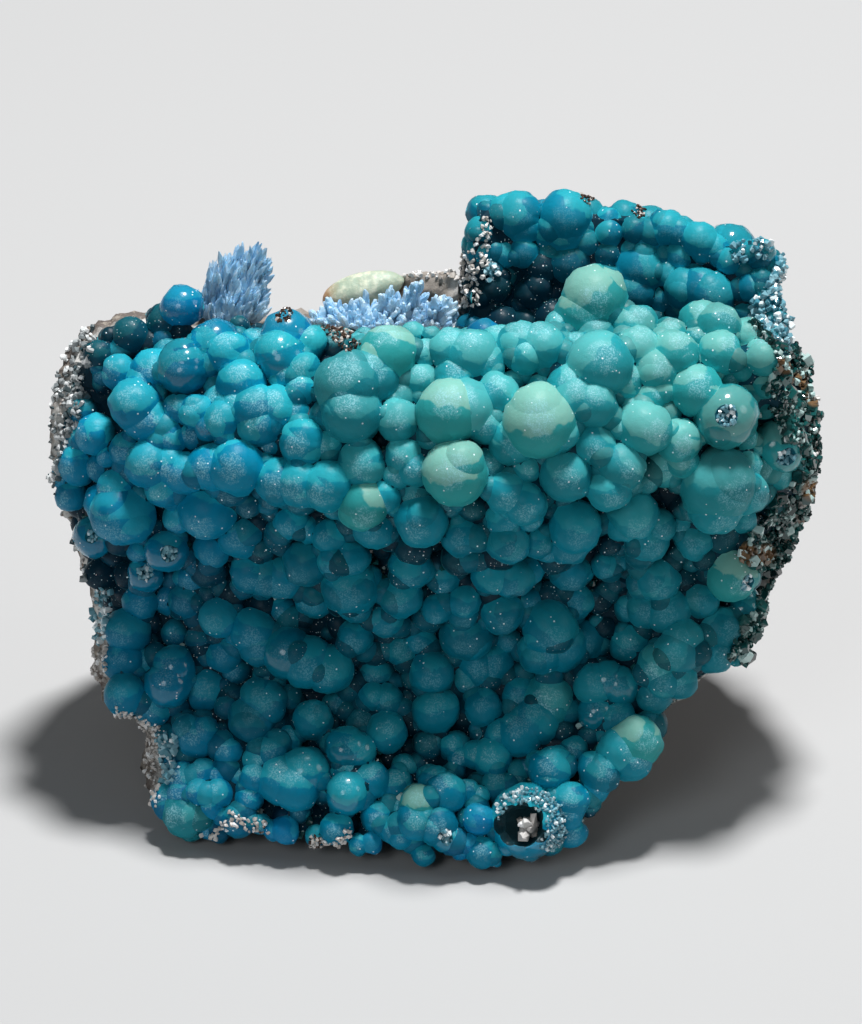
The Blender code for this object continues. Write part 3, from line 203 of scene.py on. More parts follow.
VALLEY_CENTRE = [
    (-5.1, 30.6, 1.7, 0.5), (2.7, 29.9, 1.7, -0.6), (-12.5, 31.1, 1.6, -0.4), (-11.0, 30.5, 1.2, -0.8),
    (-9.0, 29.9, 1.6, -1.0), (-11.2, 27.5, 2.0, 0.0), (-13.2, 26.3, 2.0, -0.4), (-16.2, 26.6, 1.7, 0.0),
    (-14.8, 26.4, 2.0, -0.3), (-10.5, 24.2, 1.6, -1.2), (-8.6, 27.8, 1.5, 0.2), (-7.1, 27.9, 1.5, 0.0),
    (-7.2, 25.3, 2.3, 0.8), (-6.9, 23.8, 1.6, 0.2), (-5.7, 26.0, 1.3, 0.3), (-1.8, 27.1, 1.8, -0.2),
    (-0.8, 26.8, 1.2, -0.3), (-2.7, 24.4, 1.8, 0.6), (-4.1, 22.4, 1.6, 0.2), (0.5, 23.3, 1.3, 0.5),
    (1.2, 26.2, 1.6, -1.0), (3.0, 24.0, 1.4, 0.2), (2.9, 22.9, 1.3, 0.4), (-6.8, 20.8, 1.5, 0.6),
    (-2.6, 19.8, 1.6, -1.0), (-1.0, 20.5, 1.3, -0.5), (3.2, 21.0, 2.2, 0.2), (3.7, 20.4, 1.6, 0.5),
    (0.1, 17.5, 1.8, 0.6), (-5.2, 15.5, 1.2, 0.3), (-4.0, 15.2, 1.4, 0.0), (0.4, 14.2, 2.0, 0.6),
    (4.7, 14.4, 1.6, 0.6), (4.2, 18.5, 1.9, -1.2), (3.2, 17.3, 1.7, -1.3), (-5.0, 17.5, 1.6, -1.4),
    (-8.5, 14.7, 1.4, -1.0), (6.6, 31.5, 1.6, 0.2), (8.5, 31.8, 1.5, 0.4), (6.9, 29.3, 1.8, 0.5),
    (9.6, 29.4, 1.4, 0.2), (10.4, 28.8, 1.3, 0.0), (12.8, 30.7, 2.2, 1.2), (12.3, 29.3, 1.9, 0.2),
    (5.5, 26.4, 1.7, 0.1), (7.4, 26.3, 1.9, 0.3), (8.5, 27.0, 1.6, -0.6), (12.5, 26.8, 1.8, -0.6),
    (13.4, 26.6, 1.1, -0.2), (15.7, 27.4, 1.3, -0.8), (16.9, 27.8, 1.0, -1.2), (6.4, 23.0, 1.8, 0.3),
    (8.6, 23.9, 1.5, -1.0), (13.0, 24.1, 1.6, -0.6), (10.7, 21.6, 2.3, 1.4), (10.0, 19.6, 2.0, 0.8),
    (11.6, 20.0, 2.2, 0.2), (13.6, 20.5, 1.9, -1.0), (20.3, 25.9, 1.9, 0.6), (18.9, 25.6, 1.3, 0.2),
    (21.3, 23.2, 1.9, -0.1), (19.4, 23.3, 1.7, -0.5), (17.8, 23.5, 1.4, -1.4), (18.0, 20.3, 1.8, -1.2),
    (24.0, 24.1, 1.7, -0.6), (6.8, 20.6, 1.4, -1.2), (5.4, 18.6, 1.9, -1.4),
]
VALLEY_LEFT = [
    (-26.2, 23.9, 1.5, -0.2), (-22.0, 24.0, 1.6, -0.4), (-23.9, 24.2, 1.3, -1.2), (-19.1, 22.5, 1.7, 0.5),
    (-13.3, 23.2, 1.4, -1.2), (-27.4, 21.3, 1.9, 0.2), (-27.8, 18.6, 1.8, 0.0), (-25.6, 18.6, 1.4, -0.8),
    (-23.2, 18.1, 1.8, 0.9), (-23.7, 16.6, 1.9, 0.8), (-27.6, 15.6, 1.8, 0.4), (-25.0, 14.4, 1.6, -0.6),
    (-16.0, 21.4, 1.9, 0.5), (-15.6, 20.0, 1.7, 0.7), (-17.4, 21.0, 1.1, 0.0), (-12.9, 19.3, 2.1, 1.0),
    (-11.0, 18.5, 2.2, 1.1), (-9.3, 17.9, 2.1, 1.0), (-18.6, 19.2, 1.6, -1.0), (-14.5, 17.0, 1.6, -0.8),
    (-23.0, 21.2, 1.3, -1.5), (-15.1, 14.9, 2.0, 0.8), (-16.1, 13.4, 2.0, 0.5), (-20.2, 16.0, 2.1, -1.6),
    (-17.7, 17.7, 1.5, -1.8), (-21.9, 12.4, 1.3, 0.4), (-20.4, 12.3, 1.3, 0.4), (-21.1, 11.6, 1.6, 0.1),
    (-10.7, 13.4, 1.7, 0.6), (-18.3, 10.5, 1.3, 0.0), (-14.4, 10.5, 1.4, 0.4), (-15.5, 9.7, 1.3, 0.2),
    (-12.8, 11.6, 1.2, -0.8),
]
RIM_LEFT = [
    (-22.2, 8.0, 1.4, 0.6), (-20.5, 8.5, 1.3, 0.5), (-20.9, 6.9, 1.2, 1.1), (-22.3, 6.6, 1.3, 0.9),
    (-19.3, 8.2, 1.0, 0.2), (-19.2, 6.8, 1.2, 0.5), (-19.7, 5.6, 1.0, 0.3), (-22.2, 4.9, 1.9, 0.6),
    (-23.7, 6.1, 1.4, 0.3), (-21.1, 4.7, 1.4, 0.4), (-21.6, 3.3, 0.9, 0.0), (-19.9, 3.4, 0.9, -0.4),
    (-17.4, 4.3, 1.4, -0.5), (-15.3, 4.0, 0.9, -0.4), (-15.8, 8.2, 1.3, 0.3), (-13.4, 7.9, 2.0, 0.5),
    (-12.2, 7.4, 2.0, 0.6), (-11.3, 8.7, 2.1, 0.7), (-17.2, 8.2, 1.1, -0.8), (-16.3, 6.3, 1.2, -0.6),
    (-13.1, 3.4, 1.2, 0.0), (-14.1, 3.3, 0.9, 0.0), (-8.5, 3.6, 1.4, 0.0), (-10.4, 3.0, 0.9, -0.4),
    (-7.6, 10.8, 1.8, 0.9), (-6.6, 10.6, 1.6, 0.7), (-7.5, 6.9, 1.8, 0.9), (-5.4, 8.0, 1.7, 0.4),
    (-7.6, 8.8, 1.5, 0.2), (-4.0, 12.2, 1.7, 0.3), (-3.2, 7.4, 1.5, -0.8), (-4.7, 4.6, 1.4, -0.6),
    (-5.3, 2.3, 0.9, 0.0), (-6.5, 2.2, 0.9, -0.2),
]
RIM_RIGHT = [
    (-1.0, 6.0, 1.6, 1.2), (1.3, 6.9, 1.7, 1.1), (0.3, 7.8, 1.4, 0.7), (-1.2, 4.5, 1.7, 1.1),
    (0.6, 4.0, 1.6, 1.1), (1.4, 2.9, 1.2, 0.9), (4.3, 4.5, 1.4, 0.6), (3.4, 2.3, 1.0, 0.3),
    (2.7, 1.6, 0.8, 0.0), (3.1, 6.9, 1.2, 0.0), (4.3, 6.6, 0.9, -0.2), (-2.7, 2.9, 1.0, 0.6),
    (-3.4, 3.6, 1.3, 0.0), (-0.7, 1.3, 0.9, 0.2), (1.9, 11.0, 1.1, -0.4), (2.6, 10.0, 1.1, -0.4),
    (5.4, 10.1, 1.7, 0.0), (4.0, 10.2, 1.3, -0.2), (6.4, 11.9, 1.5, 0.0), (4.5, 1.6, 1.4, 0.2),
    (5.8, 0.7, 0.6, 0.0), (6.8, 2.0, 0.8, 0.8), (8.9, 1.9, 1.0, 0.5), (10.9, 1.9, 0.6, 0.0),
    (12.4, 6.2, 1.6, 0.7), (12.2, 5.0, 1.4, 0.5), (13.2, 5.9, 0.9, 0.3), (10.7, 9.0, 1.8, 0.7),
    (11.3, 9.6, 1.3, 0.4), (12.6, 3.2, 1.3, -0.5), (14.4, 9.2, 1.2, 0.2), (15.2, 8.6, 1.7, 0.3),
    (14.8, 7.4, 1.2, 0.0), (18.4, 11.3, 2.2, 1.2), (17.0, 10.6, 1.9, 0.8), (17.9, 9.9, 1.9, 0.8),
    (16.9, 16.5, 1.6, 0.8), (14.8, 16.6, 1.8, 0.7), (15.8, 16.9, 1.6, 0.8), (14.9, 14.1, 1.6, 0.2),
    (16.5, 13.4, 1.7, 0.0), (20.3, 18.2, 1.8, 0.9), (21.0, 17.0, 1.7, 1.0), (22.3, 16.9, 1.6, 0.7),
    (22.0, 19.4, 1.9, 0.7), (20.0, 15.7, 1.6, 0.2), (22.6, 20.6, 1.8, 0.4), (10.4, 15.0, 2.3, -0.2),
    (9.3, 13.3, 2.1, 0.3), (8.0, 12.1, 1.9, 0.3), (8.2, 15.4, 1.8, -0.6), (25.4, 19.2, 1.6, -0.8),
    (26.0, 21.4, 2.0, -1.0), (28.2, 24.3, 1.2, -1.0), (28.4, 21.8, 1.3, 0.0), (27.5, 19.5, 1.1, 0.2),
    (28.3, 23.2, 1.5, -0.8),
]
OPEN_LUMP = (8.6, 4.3, 3.0, 0.6)  # the lump that is broken open
BACK_WALL_W = 10.0

# Lumps of the wall behind the hollow, with lift from the plane w = BACK_WALL_W.
BACK_WALL = [
    (8.0, 58.8, 2.0, 0.4), (8.5, 57.7, 1.6, 0.4), (6.9, 59.3, 1.5, 0.2), (12.1, 58.7, 2.2, 0.8),
    (10.6, 57.4, 1.6, 0.3), (12.2, 57.2, 1.8, 0.4), (13.6, 57.6, 1.4, 0.2), (16.0, 58.3, 1.2, 0.0),
    (18.8, 57.8, 1.1, 0.0), (16.2, 55.4, 1.3, -0.3), (14.6, 55.2, 1.1, -0.6), (18.2, 55.9, 1.3, -0.2),
    (19.6, 56.9, 1.7, -0.2), (17.6, 57.3, 1.3, -0.6), (19.0, 54.0, 2.2, -0.2), (18.5, 51.8, 1.9, 0.0),
    (21.3, 57.7, 1.5, 0.4), (22.3, 57.3, 1.3, 0.4), (24.2, 56.6, 1.6, 0.5), (24.5, 55.6, 1.1, 0.4),
    (25.6, 55.9, 1.2, 0.0), (22.9, 52.2, 1.7, 0.8), (24.3, 52.2, 1.8, 0.9), (25.3, 51.6, 2.0, 0.8),
    (27.0, 54.7, 1.2, 0.0), (28.1, 55.6, 0.9, 0.2), (29.9, 55.6, 1.0, 0.0), (28.9, 52.2, 1.3, 0.0),
    (29.8, 53.0, 1.1, 0.0), (30.3, 51.0, 1.3, 0.0), (28.4, 49.9, 1.2, -0.4), (9.8, 54.2, 1.0, -1.6),
    (11.5, 52.9, 1.3, -1.4), (12.4, 54.2, 1.1, -1.8), (6.6, 55.4, 1.3, 0.0), (5.5, 54.0, 1.1, 0.3),
    (5.8, 52.4, 1.4, 0.0), (6.6, 53.4, 1.3, -0.6), (20.7, 51.4, 1.4, -0.5), (31.0, 49.2, 1.2, 0.0),
]

# %% Where the crust ends, and the hollow behind the ridge
# Front edge of the crust in the picture, (u, v) in mm.
CRUST_EDGE = [
    (-28.5, 48.0), (-30.6, 46.0), (-31.3, 43.0), (-31.4, 40.5), (-32.8, 37.5), (-33.0, 34.0),
    (-31.8, 31.0), (-30.4, 27.5), (-29.0, 24.0), (-28.8, 20.0), (-28.6, 17.0), (-28.4, 14.9),
    (-26.0, 13.6), (-24.0, 12.0), (-23.4, 9.0), (-24.0, 7.0), (-23.2, 4.8), (-21.0, 3.8),
    (-18.0, 4.2), (-14.5, 3.6), (-9.5, 3.6), (-5.0, 3.2), (0.0, 3.0), (5.0, 2.6),
    (9.0, 2.8), (12.5, 3.8), (14.2, 5.7), (16.4, 8.6), (19.0, 11.2), (20.0, 13.8),
    (23.0, 16.6), (26.2, 19.2), (27.4, 21.6), (28.8, 24.6), (29.2, 26.4), (27.6, 28.4),
    (29.0, 30.6), (31.0, 33.0), (32.8, 36.0), (32.4, 39.5), (30.8, 42.0), (31.0, 44.5),
    (31.6, 46.4), (28.0, 48.2), (24.0, 48.2), (19.0, 47.8), (14.0, 48.0), (8.0, 47.6),
    (3.0, 47.0), (-3.0, 46.8), (-9.0, 46.8), (-15.0, 47.4), (-20.0, 47.8), (-25.0, 48.4),
]

# Outlines in the picture, (u, v) in mm, of places where the specimen is broken.
RIGHT_FRACTURE = [
    (28.5, 49.0), (30.0, 47.2), (31.0, 45.5), (30.2, 43.8), (30.0, 42.0), (31.0, 40.0), (31.5, 38.5),
    (33.0, 38.0), (33.5, 37.0), (33.0, 35.5), (30.5, 32.5), (28.7, 30.2), (27.5, 28.2), (28.2, 27.3),
    (29.5, 26.8), (30.5, 26.0), (29.3, 24.8), (29.3, 23.2), (27.7, 22.0), (27.6, 20.8), (26.5, 18.9),
    (29.0, 18.0), (33.0, 21.0), (35.0, 27.0), (37.0, 33.0), (37.5, 42.0), (36.0, 48.0), (33.0, 55.0),
]
LEFT_RIND = [
    (-30.2, 49.4), (-31.0, 42.0), (-32.2, 39.0), (-33.5, 36.5), (-33.9, 33.0), (-32.6, 30.5),
    (-31.8, 28.0), (-30.8, 26.0), (-36.0, 24.0), (-37.0, 36.0), (-35.0, 50.5),
]

HOLLOW_X = (2.0, 31.0)
WALL_X = (4.0, 14.0, 20.0, 25.0, 31.0)
WALL_HEIGHT = (1.0, 1.02, 0.94, 0.84, 0.70)
WALL_FORWARD = (0.0, 0.0, 0.3, 1.5, 4.0)
WALL_FOOT_Z = 37.0
WALL_FOOT_Y = 6.0
LEAN_START, LEAN_LENGTH = 3.0, 6.0  # mm in y over which the hollow's back is brought forward
HOLLOW_SKIN = [
    (-2.0, 43.0), (1.5, 42.0), (3.2, 39.5), (4.2, 36.5), (6.5, 35.0), (9.4, 36.6), (11.6, 40.4),
    (13.4, 44.4), (14.8, 47.6), (17.4, 47.4), (19.0, 44.6),
]

# %% [markdown]
# ## Where the gaps are filled
#
# Between the lumps that were read one by one there are smaller ones, and the wall and floor of the hollow
# carry many more. They are scattered by dart throwing: a random place is kept only if it isn't too close
# to a lump that is already there. The random numbers have a fixed seed, so the specimen never changes.

# %% Every lump with its place
# The number of draws, and then ranges in mm: u and v in the picture, the radius, and at the top how far
# behind the crust's surface.
FACE_DRAWS, FACE_U, FACE_V, FACE_RADIUS = 2600, (-33.0, 33.0), (2.0, 48.0), (1.0, 1.7)
TOP_DRAWS, TOP_U, TOP_V, TOP_RADIUS, TOP_BEHIND = 500, (-29.0, 30.0), (46.4, 47.8), (1.1, 1.8), (1.5, 4.6)
TOP_EDGE_V = 47.0
HOLLOW_DRAWS, HOLLOW_RADIUS, HOLLOW_SINK = 1400, (1.1, 1.9), 0.5
OWN_ROOM = 0.62  # a new lump keeps this share of its radius clear of another's middle
THEIR_ROOM = 0.72  # and this share of the other's radius
FILLER_DEPTH = 0.9  # mm under the crust's mean surface


def trough_point(x, y, z):
    """A point of the hollow's (y, z) outline, lowered and brought forward towards the right end."""
    if z > WALL_FOOT_Z and y > WALL_FOOT_Y:
        z = WALL_FOOT_Z + (z - WALL_FOOT_Z) * np.interp(x, WALL_X, WALL_HEIGHT)
    share = min(max((y - LEAN_START) / LEAN_LENGTH, 0.0), 1.0)
    return x, y - share * np.interp(x, WALL_X, WALL_FORWARD), z


def inside(edge, u, v):
    """Whether a picture place, or each of an array of them, lies inside an outline."""
    hit = np.zeros(np.shape(u), bool)
    for a, b in zip(edge, edge[1:] + edge[:1]):
        if a[1] != b[1]:
            hit = hit ^ (((a[1] > v) != (b[1] > v)) & (u < (b[0] - a[0]) * (v - a[1]) / (b[1] - a[1]) + a[0]))
    return hit


def face_lumps():
    """Every lump that was read, as (centre, radius, outward, u, v)."""
    found = []
    for group in (TOP_LEFT, LEFT, RIDGE_LEFT, RIDGE_CENTRE, RIDGE_RIGHT, VALLEY_CENTRE, VALLEY_LEFT,
                  RIM_LEFT, RIM_RIGHT, [OPEN_LUMP]):
        for u, v, radius, lift in group:
            found.append((to_world(u, v, depth_at(u, v) + lift), radius, outward_at(u, v), u, v))
    for u, v, radius, lift in BACK_WALL:
        forward = np.interp(u, WALL_X, WALL_FORWARD)
        found.append((to_world(u, v, BACK_WALL_W + forward + lift), radius, TO_VIEWER, u, v))
    return found


def filler_lumps(lumps):
    """Smaller lumps in the gaps, on the face and round the hollow."""
    rng = random.Random(5)
    found = []

    def keep(centre, radius, outward):
        near = lumps + found
        if all((centre - other[0]).length > (radius * OWN_ROOM + other[1] * THEIR_ROOM) * MM
               for other in near):
            u, v, w = picture_place(centre)
            found.append((centre, radius, outward, u, v))

    for _ in range(FACE_DRAWS):
        u = rng.uniform(*FACE_U)
        v = rng.uniform(*FACE_V)
        radius = rng.uniform(*FACE_RADIUS)
        if inside(CRUST_EDGE, u, v) and not inside(RIGHT_FRACTURE, u, v) and not inside(LEFT_RIND, u, v):
            keep(to_world(u, v, depth_at(u, v) - FILLER_DEPTH), radius, outward_at(u, v))
    for _ in range(TOP_DRAWS):
        u = rng.uniform(*TOP_U)
        radius = rng.uniform(*TOP_RADIUS)
        centre = to_world(u, rng.uniform(*TOP_V), depth_at(u, TOP_EDGE_V) - rng.uniform(*TOP_BEHIND))
        keep(centre, radius, Vector((0.0, -0.2, 0.98)))
    lengths = [math.dist(a, b) for a, b in zip(HOLLOW_SKIN, HOLLOW_SKIN[1:])]
    for _ in range(HOLLOW_DRAWS):
        along = rng.uniform(0.0, sum(lengths))
        x = rng.uniform(HOLLOW_X[0] + 2.4, HOLLOW_X[1] - 0.5)
        radius = rng.uniform(*HOLLOW_RADIUS)
        i = 0
        while along > lengths[i]:
            along -= lengths[i]
            i += 1
        (ya, za), (yb, zb) = HOLLOW_SKIN[i], HOLLOW_SKIN[i + 1]
        share = along / lengths[i]
        y, z = ya + (yb - ya) * share, za + (zb - za) * share - HOLLOW_SINK
        centre = stand_point(*trough_point(x, y, z))
        keep(centre, radius, Vector((0.0, za - zb, yb - ya)).normalized())
    return found


read_lumps = face_lumps()
lumps = read_lumps + filler_lumps(read_lumps)
print(len(read_lumps), "lumps read,", len(lumps) - len(read_lumps), "filled in")

# %% [markdown]
# ## Small helpers for meshes
#
# A finished piece is one object at the origin with its place in its mesh. A copied solid comes from the
# frame as loose triangles, so its doubles are merged before anything is done to it.

# %% Objects and modifiers
def smooth(low, high, value):
    """0 below low, 1 above high, with a soft start and end."""
    share = min(max((value - low) / (high - low), 0.0), 1.0)
    return share * share * (3 - 2 * share)


def new_object(name, mesh, collection=None):
    made = bpy.data.objects.new(name, mesh)
    (collection or bpy.context.scene.collection).objects.link(made)
    return made


def object_from(name, bm, collection=None):
    mesh = bpy.data.meshes.new(name)
    bm.to_mesh(mesh)
    bm.free()
    return new_object(name, mesh, collection)


def apply_modifiers(obj):
    """Turns what the modifiers make into the object's own plain mesh."""
    graph = bpy.context.evaluated_depsgraph_get()
    made = bpy.data.meshes.new_from_object(obj.evaluated_get(graph))
    obj.modifiers.clear()
    obj.data = made


def remove_object(obj):
    bpy.data.objects.remove(obj, do_unlink=True)


def read(items, key, kind=np.float32):
    """One number of each face, corner or point of a mesh, as an array."""
    numbers = np.empty(len(items), kind)
    items.foreach_get(key, numbers)
    return numbers


def read_vectors(items, key):
    numbers = np.empty(len(items) * 3, np.float32)
    items.foreach_get(key, numbers)
    return numbers.reshape(-1, 3)


def points_of(mesh):
    return read_vectors(mesh.vertices, "co")


def normals_of(mesh):
    return read_vectors(mesh.vertex_normals, "vector")


def store(mesh, name, domain, values, kind="FLOAT"):
    """Keeps a number, or a vector, for each face, corner or point of a mesh."""
    layer = mesh.attributes.new(name, kind, domain)
    layer.data.foreach_set("value" if kind == "FLOAT" else "vector", np.asarray(values, np.float32).ravel())


def triangles_in(mesh):
    return len(mesh.loops) - 2 * len(mesh.polygons)


def bmesh_of(mesh):
    bm = bmesh.new()
    bm.from_mesh(mesh)
    bm.faces.ensure_lookup_table()
    return bm


def set_points(mesh, places):
    mesh.vertices.foreach_set("co", np.asarray(places, np.float32).ravel())
    mesh.update()


def solid_copy(node, name):
    """A copy of one of the frame's solids with its doubles merged."""
    bm = bmesh_of(frame["nodes"][node].data)
    bmesh.ops.remove_doubles(bm, verts=bm.verts, dist=0.001 * MM)
    return object_from(name, bm)


def boolean_with(obj, collection, operation):
    """Joins or cuts a closed mesh with every closed mesh of a collection, which is emptied afterwards."""
    join = obj.modifiers.new(operation.lower(), "BOOLEAN")
    join.operation = operation
    join.solver = "MANIFOLD"  # the exact solver takes minutes on hundreds of balls
    join.operand_type = "COLLECTION"
    join.collection = collection
    apply_modifiers(obj)
    for part in list(collection.objects):
        remove_object(part)


workshop = bpy.data.collections.new("workshop")
bpy.context.scene.collection.children.link(workshop)
print("helpers ready")

# %% [markdown]
# ## What each lump looks like
#
# The colour of the crust isn't even: it is bluer at the left and low down, and sage on the ridge. Some
# lumps stand out as plain blue, pale sage, grey or glassy. Each ball therefore carries its own numbers,
# and the material reads them; among them are painted light on the lump's top, painted shade in the valley
# and the gaps, and frosting mixed with painted glitter. A picture of the stone wrapped round the mesh would
# be easier, but it would hold the light and shadow of one moment and show nothing at the back.

# %% Colours over the crust
BRIGHT_BLUE = [(-12.9, 47.9), (-22.4, 50.5), (-13.1, 3.4), (4.3, 4.5), (3.4, 2.3), (-5.3, 2.3), (4.8, 48.0)]
# The pale sage lumps are sage, with strong painted light on their tops.
PALE_SAGE = [(2.1, 35.5), (9.6, 40.0), (14.6, 51.2), (27.2, 26.4), (-6.0, 32.6), (-3.9, 46.2), (18.4, 11.3),
             (1.6, 41.0), (13.8, 49.9), (-1.2, 6.0)]
GREYISH = [(-7.4, 43.4), (-5.6, 43.9), (-7.0, 41.0), (10.4, 15.0), (20.3, 18.2), (27.5, 19.5), (28.4, 21.8),
           (-22.2, 4.9), (-21.1, 4.7), (-21.6, 3.3)]
GLASSY = [(26.5, 40.6), (31.2, 38.0), (-25.7, 26.4), (-23.7, 28.4), (6.8, 2.0), (8.9, 1.9), (8.6, 4.3),
          (1.4, 2.9), (5.5, 54.0), (-30.5, 29.8), (28.2, 24.3), (29.9, 55.6), (28.1, 55.6)]
WET = [(-12.9, 47.9), (-13.3, 45.9), (-22.4, 50.5), (-19.4, 47.2), (-22.2, 45.0), (-19.9, 39.7),
       (-12.9, 19.3), (-11.3, 8.7), (-7.6, 10.8), (-7.5, 6.9), (-23.2, 18.1), (-23.7, 16.6),
       (16.9, 16.5), (14.9, 14.1)]


def listed(places, u, v, reach=1.2):
    return any(math.hypot(u - a, v - b) < reach for a, b in places)


WALL_Y = 4.0 * MM  # behind this and above WALL_Z the crust belongs to the hollow and its back wall
WALL_Z = 33.0 * MM


def lump_look(u, v, front):
    """(sage, blue, painted top light, frost with painted glitter, gloss, painted shade), each from 0 to 1,
    for the lump at a picture place.
    """
    # In each smooth() the first two numbers are mm in the picture.
    sage = 0.6 * smooth(27.0, 40.0, v) * smooth(-16.0, -2.0, u) + 0.3 * smooth(12.0, 22.0, u)
    blue = 0.5 * (1 - smooth(-24.0, -8.0, u)) + 0.3 * (1 - smooth(4.0, 14.0, v))
    # How strong the painted light on a lump's top is: more on the ridge and at the foot.
    top_light_strength = 0.25 + 0.35 * smooth(28.0, 40.0, v) + 0.3 * smooth(13.0, 8.0, v)
    # Frosting mixed with painted glitter, less in the valley.
    frost_and_glitter = 0.7 - 0.35 * smooth(36.0, 29.0, v) * smooth(9.0, 15.0, v)
    gloss = 0.0
    # Painted shade on the lumps of the valley under the ridge.
    painted_region_shade = 0.25 * smooth(34.0, 27.0, v) * smooth(9.0, 15.0, v)
    if not front:
        sage, blue, frost_and_glitter = 0.1, 0.25, 0.2
        # Painted shade low on the hollow's wall and at its left end.
        painted_region_shade = 0.35 * smooth(55.5, 53.0, v) + 0.45 * smooth(15.0, 12.0, u) * smooth(56.0, 54.0, v)
    if listed(BRIGHT_BLUE, u, v):
        sage, blue, top_light_strength, frost_and_glitter, painted_region_shade = 0.0, 0.9, 0.2, 0.1, 0.0
    if listed(PALE_SAGE, u, v):
        sage, blue, top_light_strength, frost_and_glitter, painted_region_shade = 1.0, 0.0, 0.9, 0.7, 0.0
    if listed(GREYISH, u, v):
        sage, blue, top_light_strength, frost_and_glitter, painted_region_shade = 0.5, 0.0, 0.5, 1.0, 0.2
    if listed(GLASSY, u, v):
        top_light_strength, frost_and_glitter, gloss = 0.5, 0.0, 1.0
    if listed(WET, u, v):
        frost_and_glitter, gloss = 0.25, 0.8
    return min(sage, 1.0), min(blue, 1.0), top_light_strength, frost_and_glitter, gloss, painted_region_shade


print("look of the ridge:", lump_look(5.0, 40.0, True))
print("look of the left:", lump_look(-25.0, 35.0, True))

# %% [markdown]
# ## The crust
#
# Every lump becomes a ball, stretched a little and turned at random, with up to three shallower balls
# grown on it, as the real lumps have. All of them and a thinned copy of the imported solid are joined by
# one Boolean union, so the seams between lumps are true creases. Metaballs would melt the seams away, and
# a voxel remesh would round them off. The union keeps a number on each face that says which ball it came
# from. At the end the skin is pushed in and out a little, so that no lump is a perfect ball.

# %% Balls and the caps on them
SWELL = 1.12  # lumps are a little larger and sit a little deeper than they were read, so that they crowd
BIG_BALL = 2.1  # mm: larger balls get the finest mesh
SMALL_BALL = 0.85  # mm: and those up to this size the coarsest
LARGE_LUMP = 1.6  # mm: from this size on a lump can carry up to three caps
CAP_SIZE = (0.7, 0.9)  # all in radii of the lump
CAP_OFFSET = (0.25, 0.5)
CAP_REACH = 1.06  # the furthest that a cap reaches from its lump's middle, in radii
SWELL_SINK = 0.8  # how much of the swelling each lump sinks
SHADE_SPREAD = 0.4
FILLER_SHADE = 1.0  # how much painted shade the lumps get that fill gaps
VALLEY_SHADE = 1.6  # and how much more painted shade they get in the valley
BASE_SHRINK = 0.25  # mm
BARE_DRAWS = 6000
BARE_SPACING = 1.6  # mm
BARE_RADIUS = (0.8, 1.5)  # mm
BARE_SINK = 0.55  # radii
BARE_CLEAR = 1.5  # mm above the floor
BARE_FACING = 0.3  # the least share of the way outwards that a bare place faces
# Painted shade on the small balls in the bare places.
BARE_SHADE = -1.5
COVERED = 0.25  # mm: a place this deep in a ball isn't bare
WAVES = (0.75, 1.7)  # the long and the short waves of the skin, for each mm
WAVE_REACH = 0.22  # mm


def unit_ball(level):
    bm = bmesh.new()
    bmesh.ops.create_icosphere(bm, subdivisions=level, radius=1.0)
    mesh = bpy.data.meshes.new("ball_{}".format(level))
    bm.to_mesh(mesh)
    bm.free()
    return mesh, points_of(mesh)


unit_balls = {level: unit_ball(level) for level in (2, 3, 4)}
balls = []  # one dictionary for each ball


def add_ball(centre, radius, outward, look, tone_and_gap_shade, rng):
    """Puts one ball in the workshop and notes its place, shape and look."""
    level = 4 if radius >= BIG_BALL else 3 if radius > SMALL_BALL else 2
    turn = np.array(Euler([rng.uniform(0.0, math.tau) for _ in range(3)]).to_matrix())
    stretch = np.array([rng.uniform(0.95, 1.04) for _ in range(3)])
    mesh = unit_balls[level][0].copy()
    places = (unit_balls[level][1] * stretch) @ turn.T * radius * MM + np.array(centre)
    set_points(mesh, places)
    store(mesh, "ball", "FACE", np.full(len(mesh.polygons), len(balls) + 1))
    new_object("ball", mesh, workshop)
    # The painted light on the ball's top comes from about straight up, and its lower edge lies at a random
    # height.
    top_light_way = (Vector((0.0, 0.0, 1.0)) + Vector([rng.gauss(0.0, 0.35) for _ in range(3)])).normalized()
    balls.append({"centre": np.array(centre), "radius": radius, "outward": np.array(outward), "look": look,
                  "tone_and_gap_shade": tone_and_gap_shade, "steep": turn @ np.diag(stretch ** -2.0) @ turn.T,
                  "top_light_way": np.array(top_light_way), "top_light_edge": rng.uniform(0.05, 0.75)})


def grow_lump(lump, was_read, rng):
    """A ball, and the caps that stand on it. Lumps that only fill gaps get painted shade, most of all in the
    valley, low down.
    """
    centre, radius, outward, u, v = lump
    look = lump_look(u, v, centre.y < WALL_Y or centre.z < WALL_Z)
    tone_and_gap_shade = rng.gauss(0.0, SHADE_SPREAD)
    if not was_read:
        tone_and_gap_shade -= FILLER_SHADE + VALLEY_SHADE * smooth(9.0, 14.0, v) * smooth(38.0, 30.0, v)
    centre = centre - outward * radius * (SWELL - 1.0) * SWELL_SINK * MM
    radius = radius * SWELL
    add_ball(centre, radius, outward, look, tone_and_gap_shade, rng)
    caps = rng.choice((0, 1, 1)) if radius < LARGE_LUMP else rng.choice((1, 1, 2, 3))
    for _ in range(caps):
        aside = outward.cross(Vector((rng.gauss(0, 1), rng.gauss(0, 1), rng.gauss(0, 1)))).normalized()
        way = (aside * rng.uniform(0.5, 1.0) + outward * rng.uniform(0.1, 0.8)).normalized()
        size = rng.uniform(*CAP_SIZE)
        offset = min(rng.uniform(*CAP_OFFSET), CAP_REACH - size)
        add_ball(centre + way * offset * radius * MM, radius * size, outward, look,
                 tone_and_gap_shade + rng.gauss(0.0, 0.5), rng)


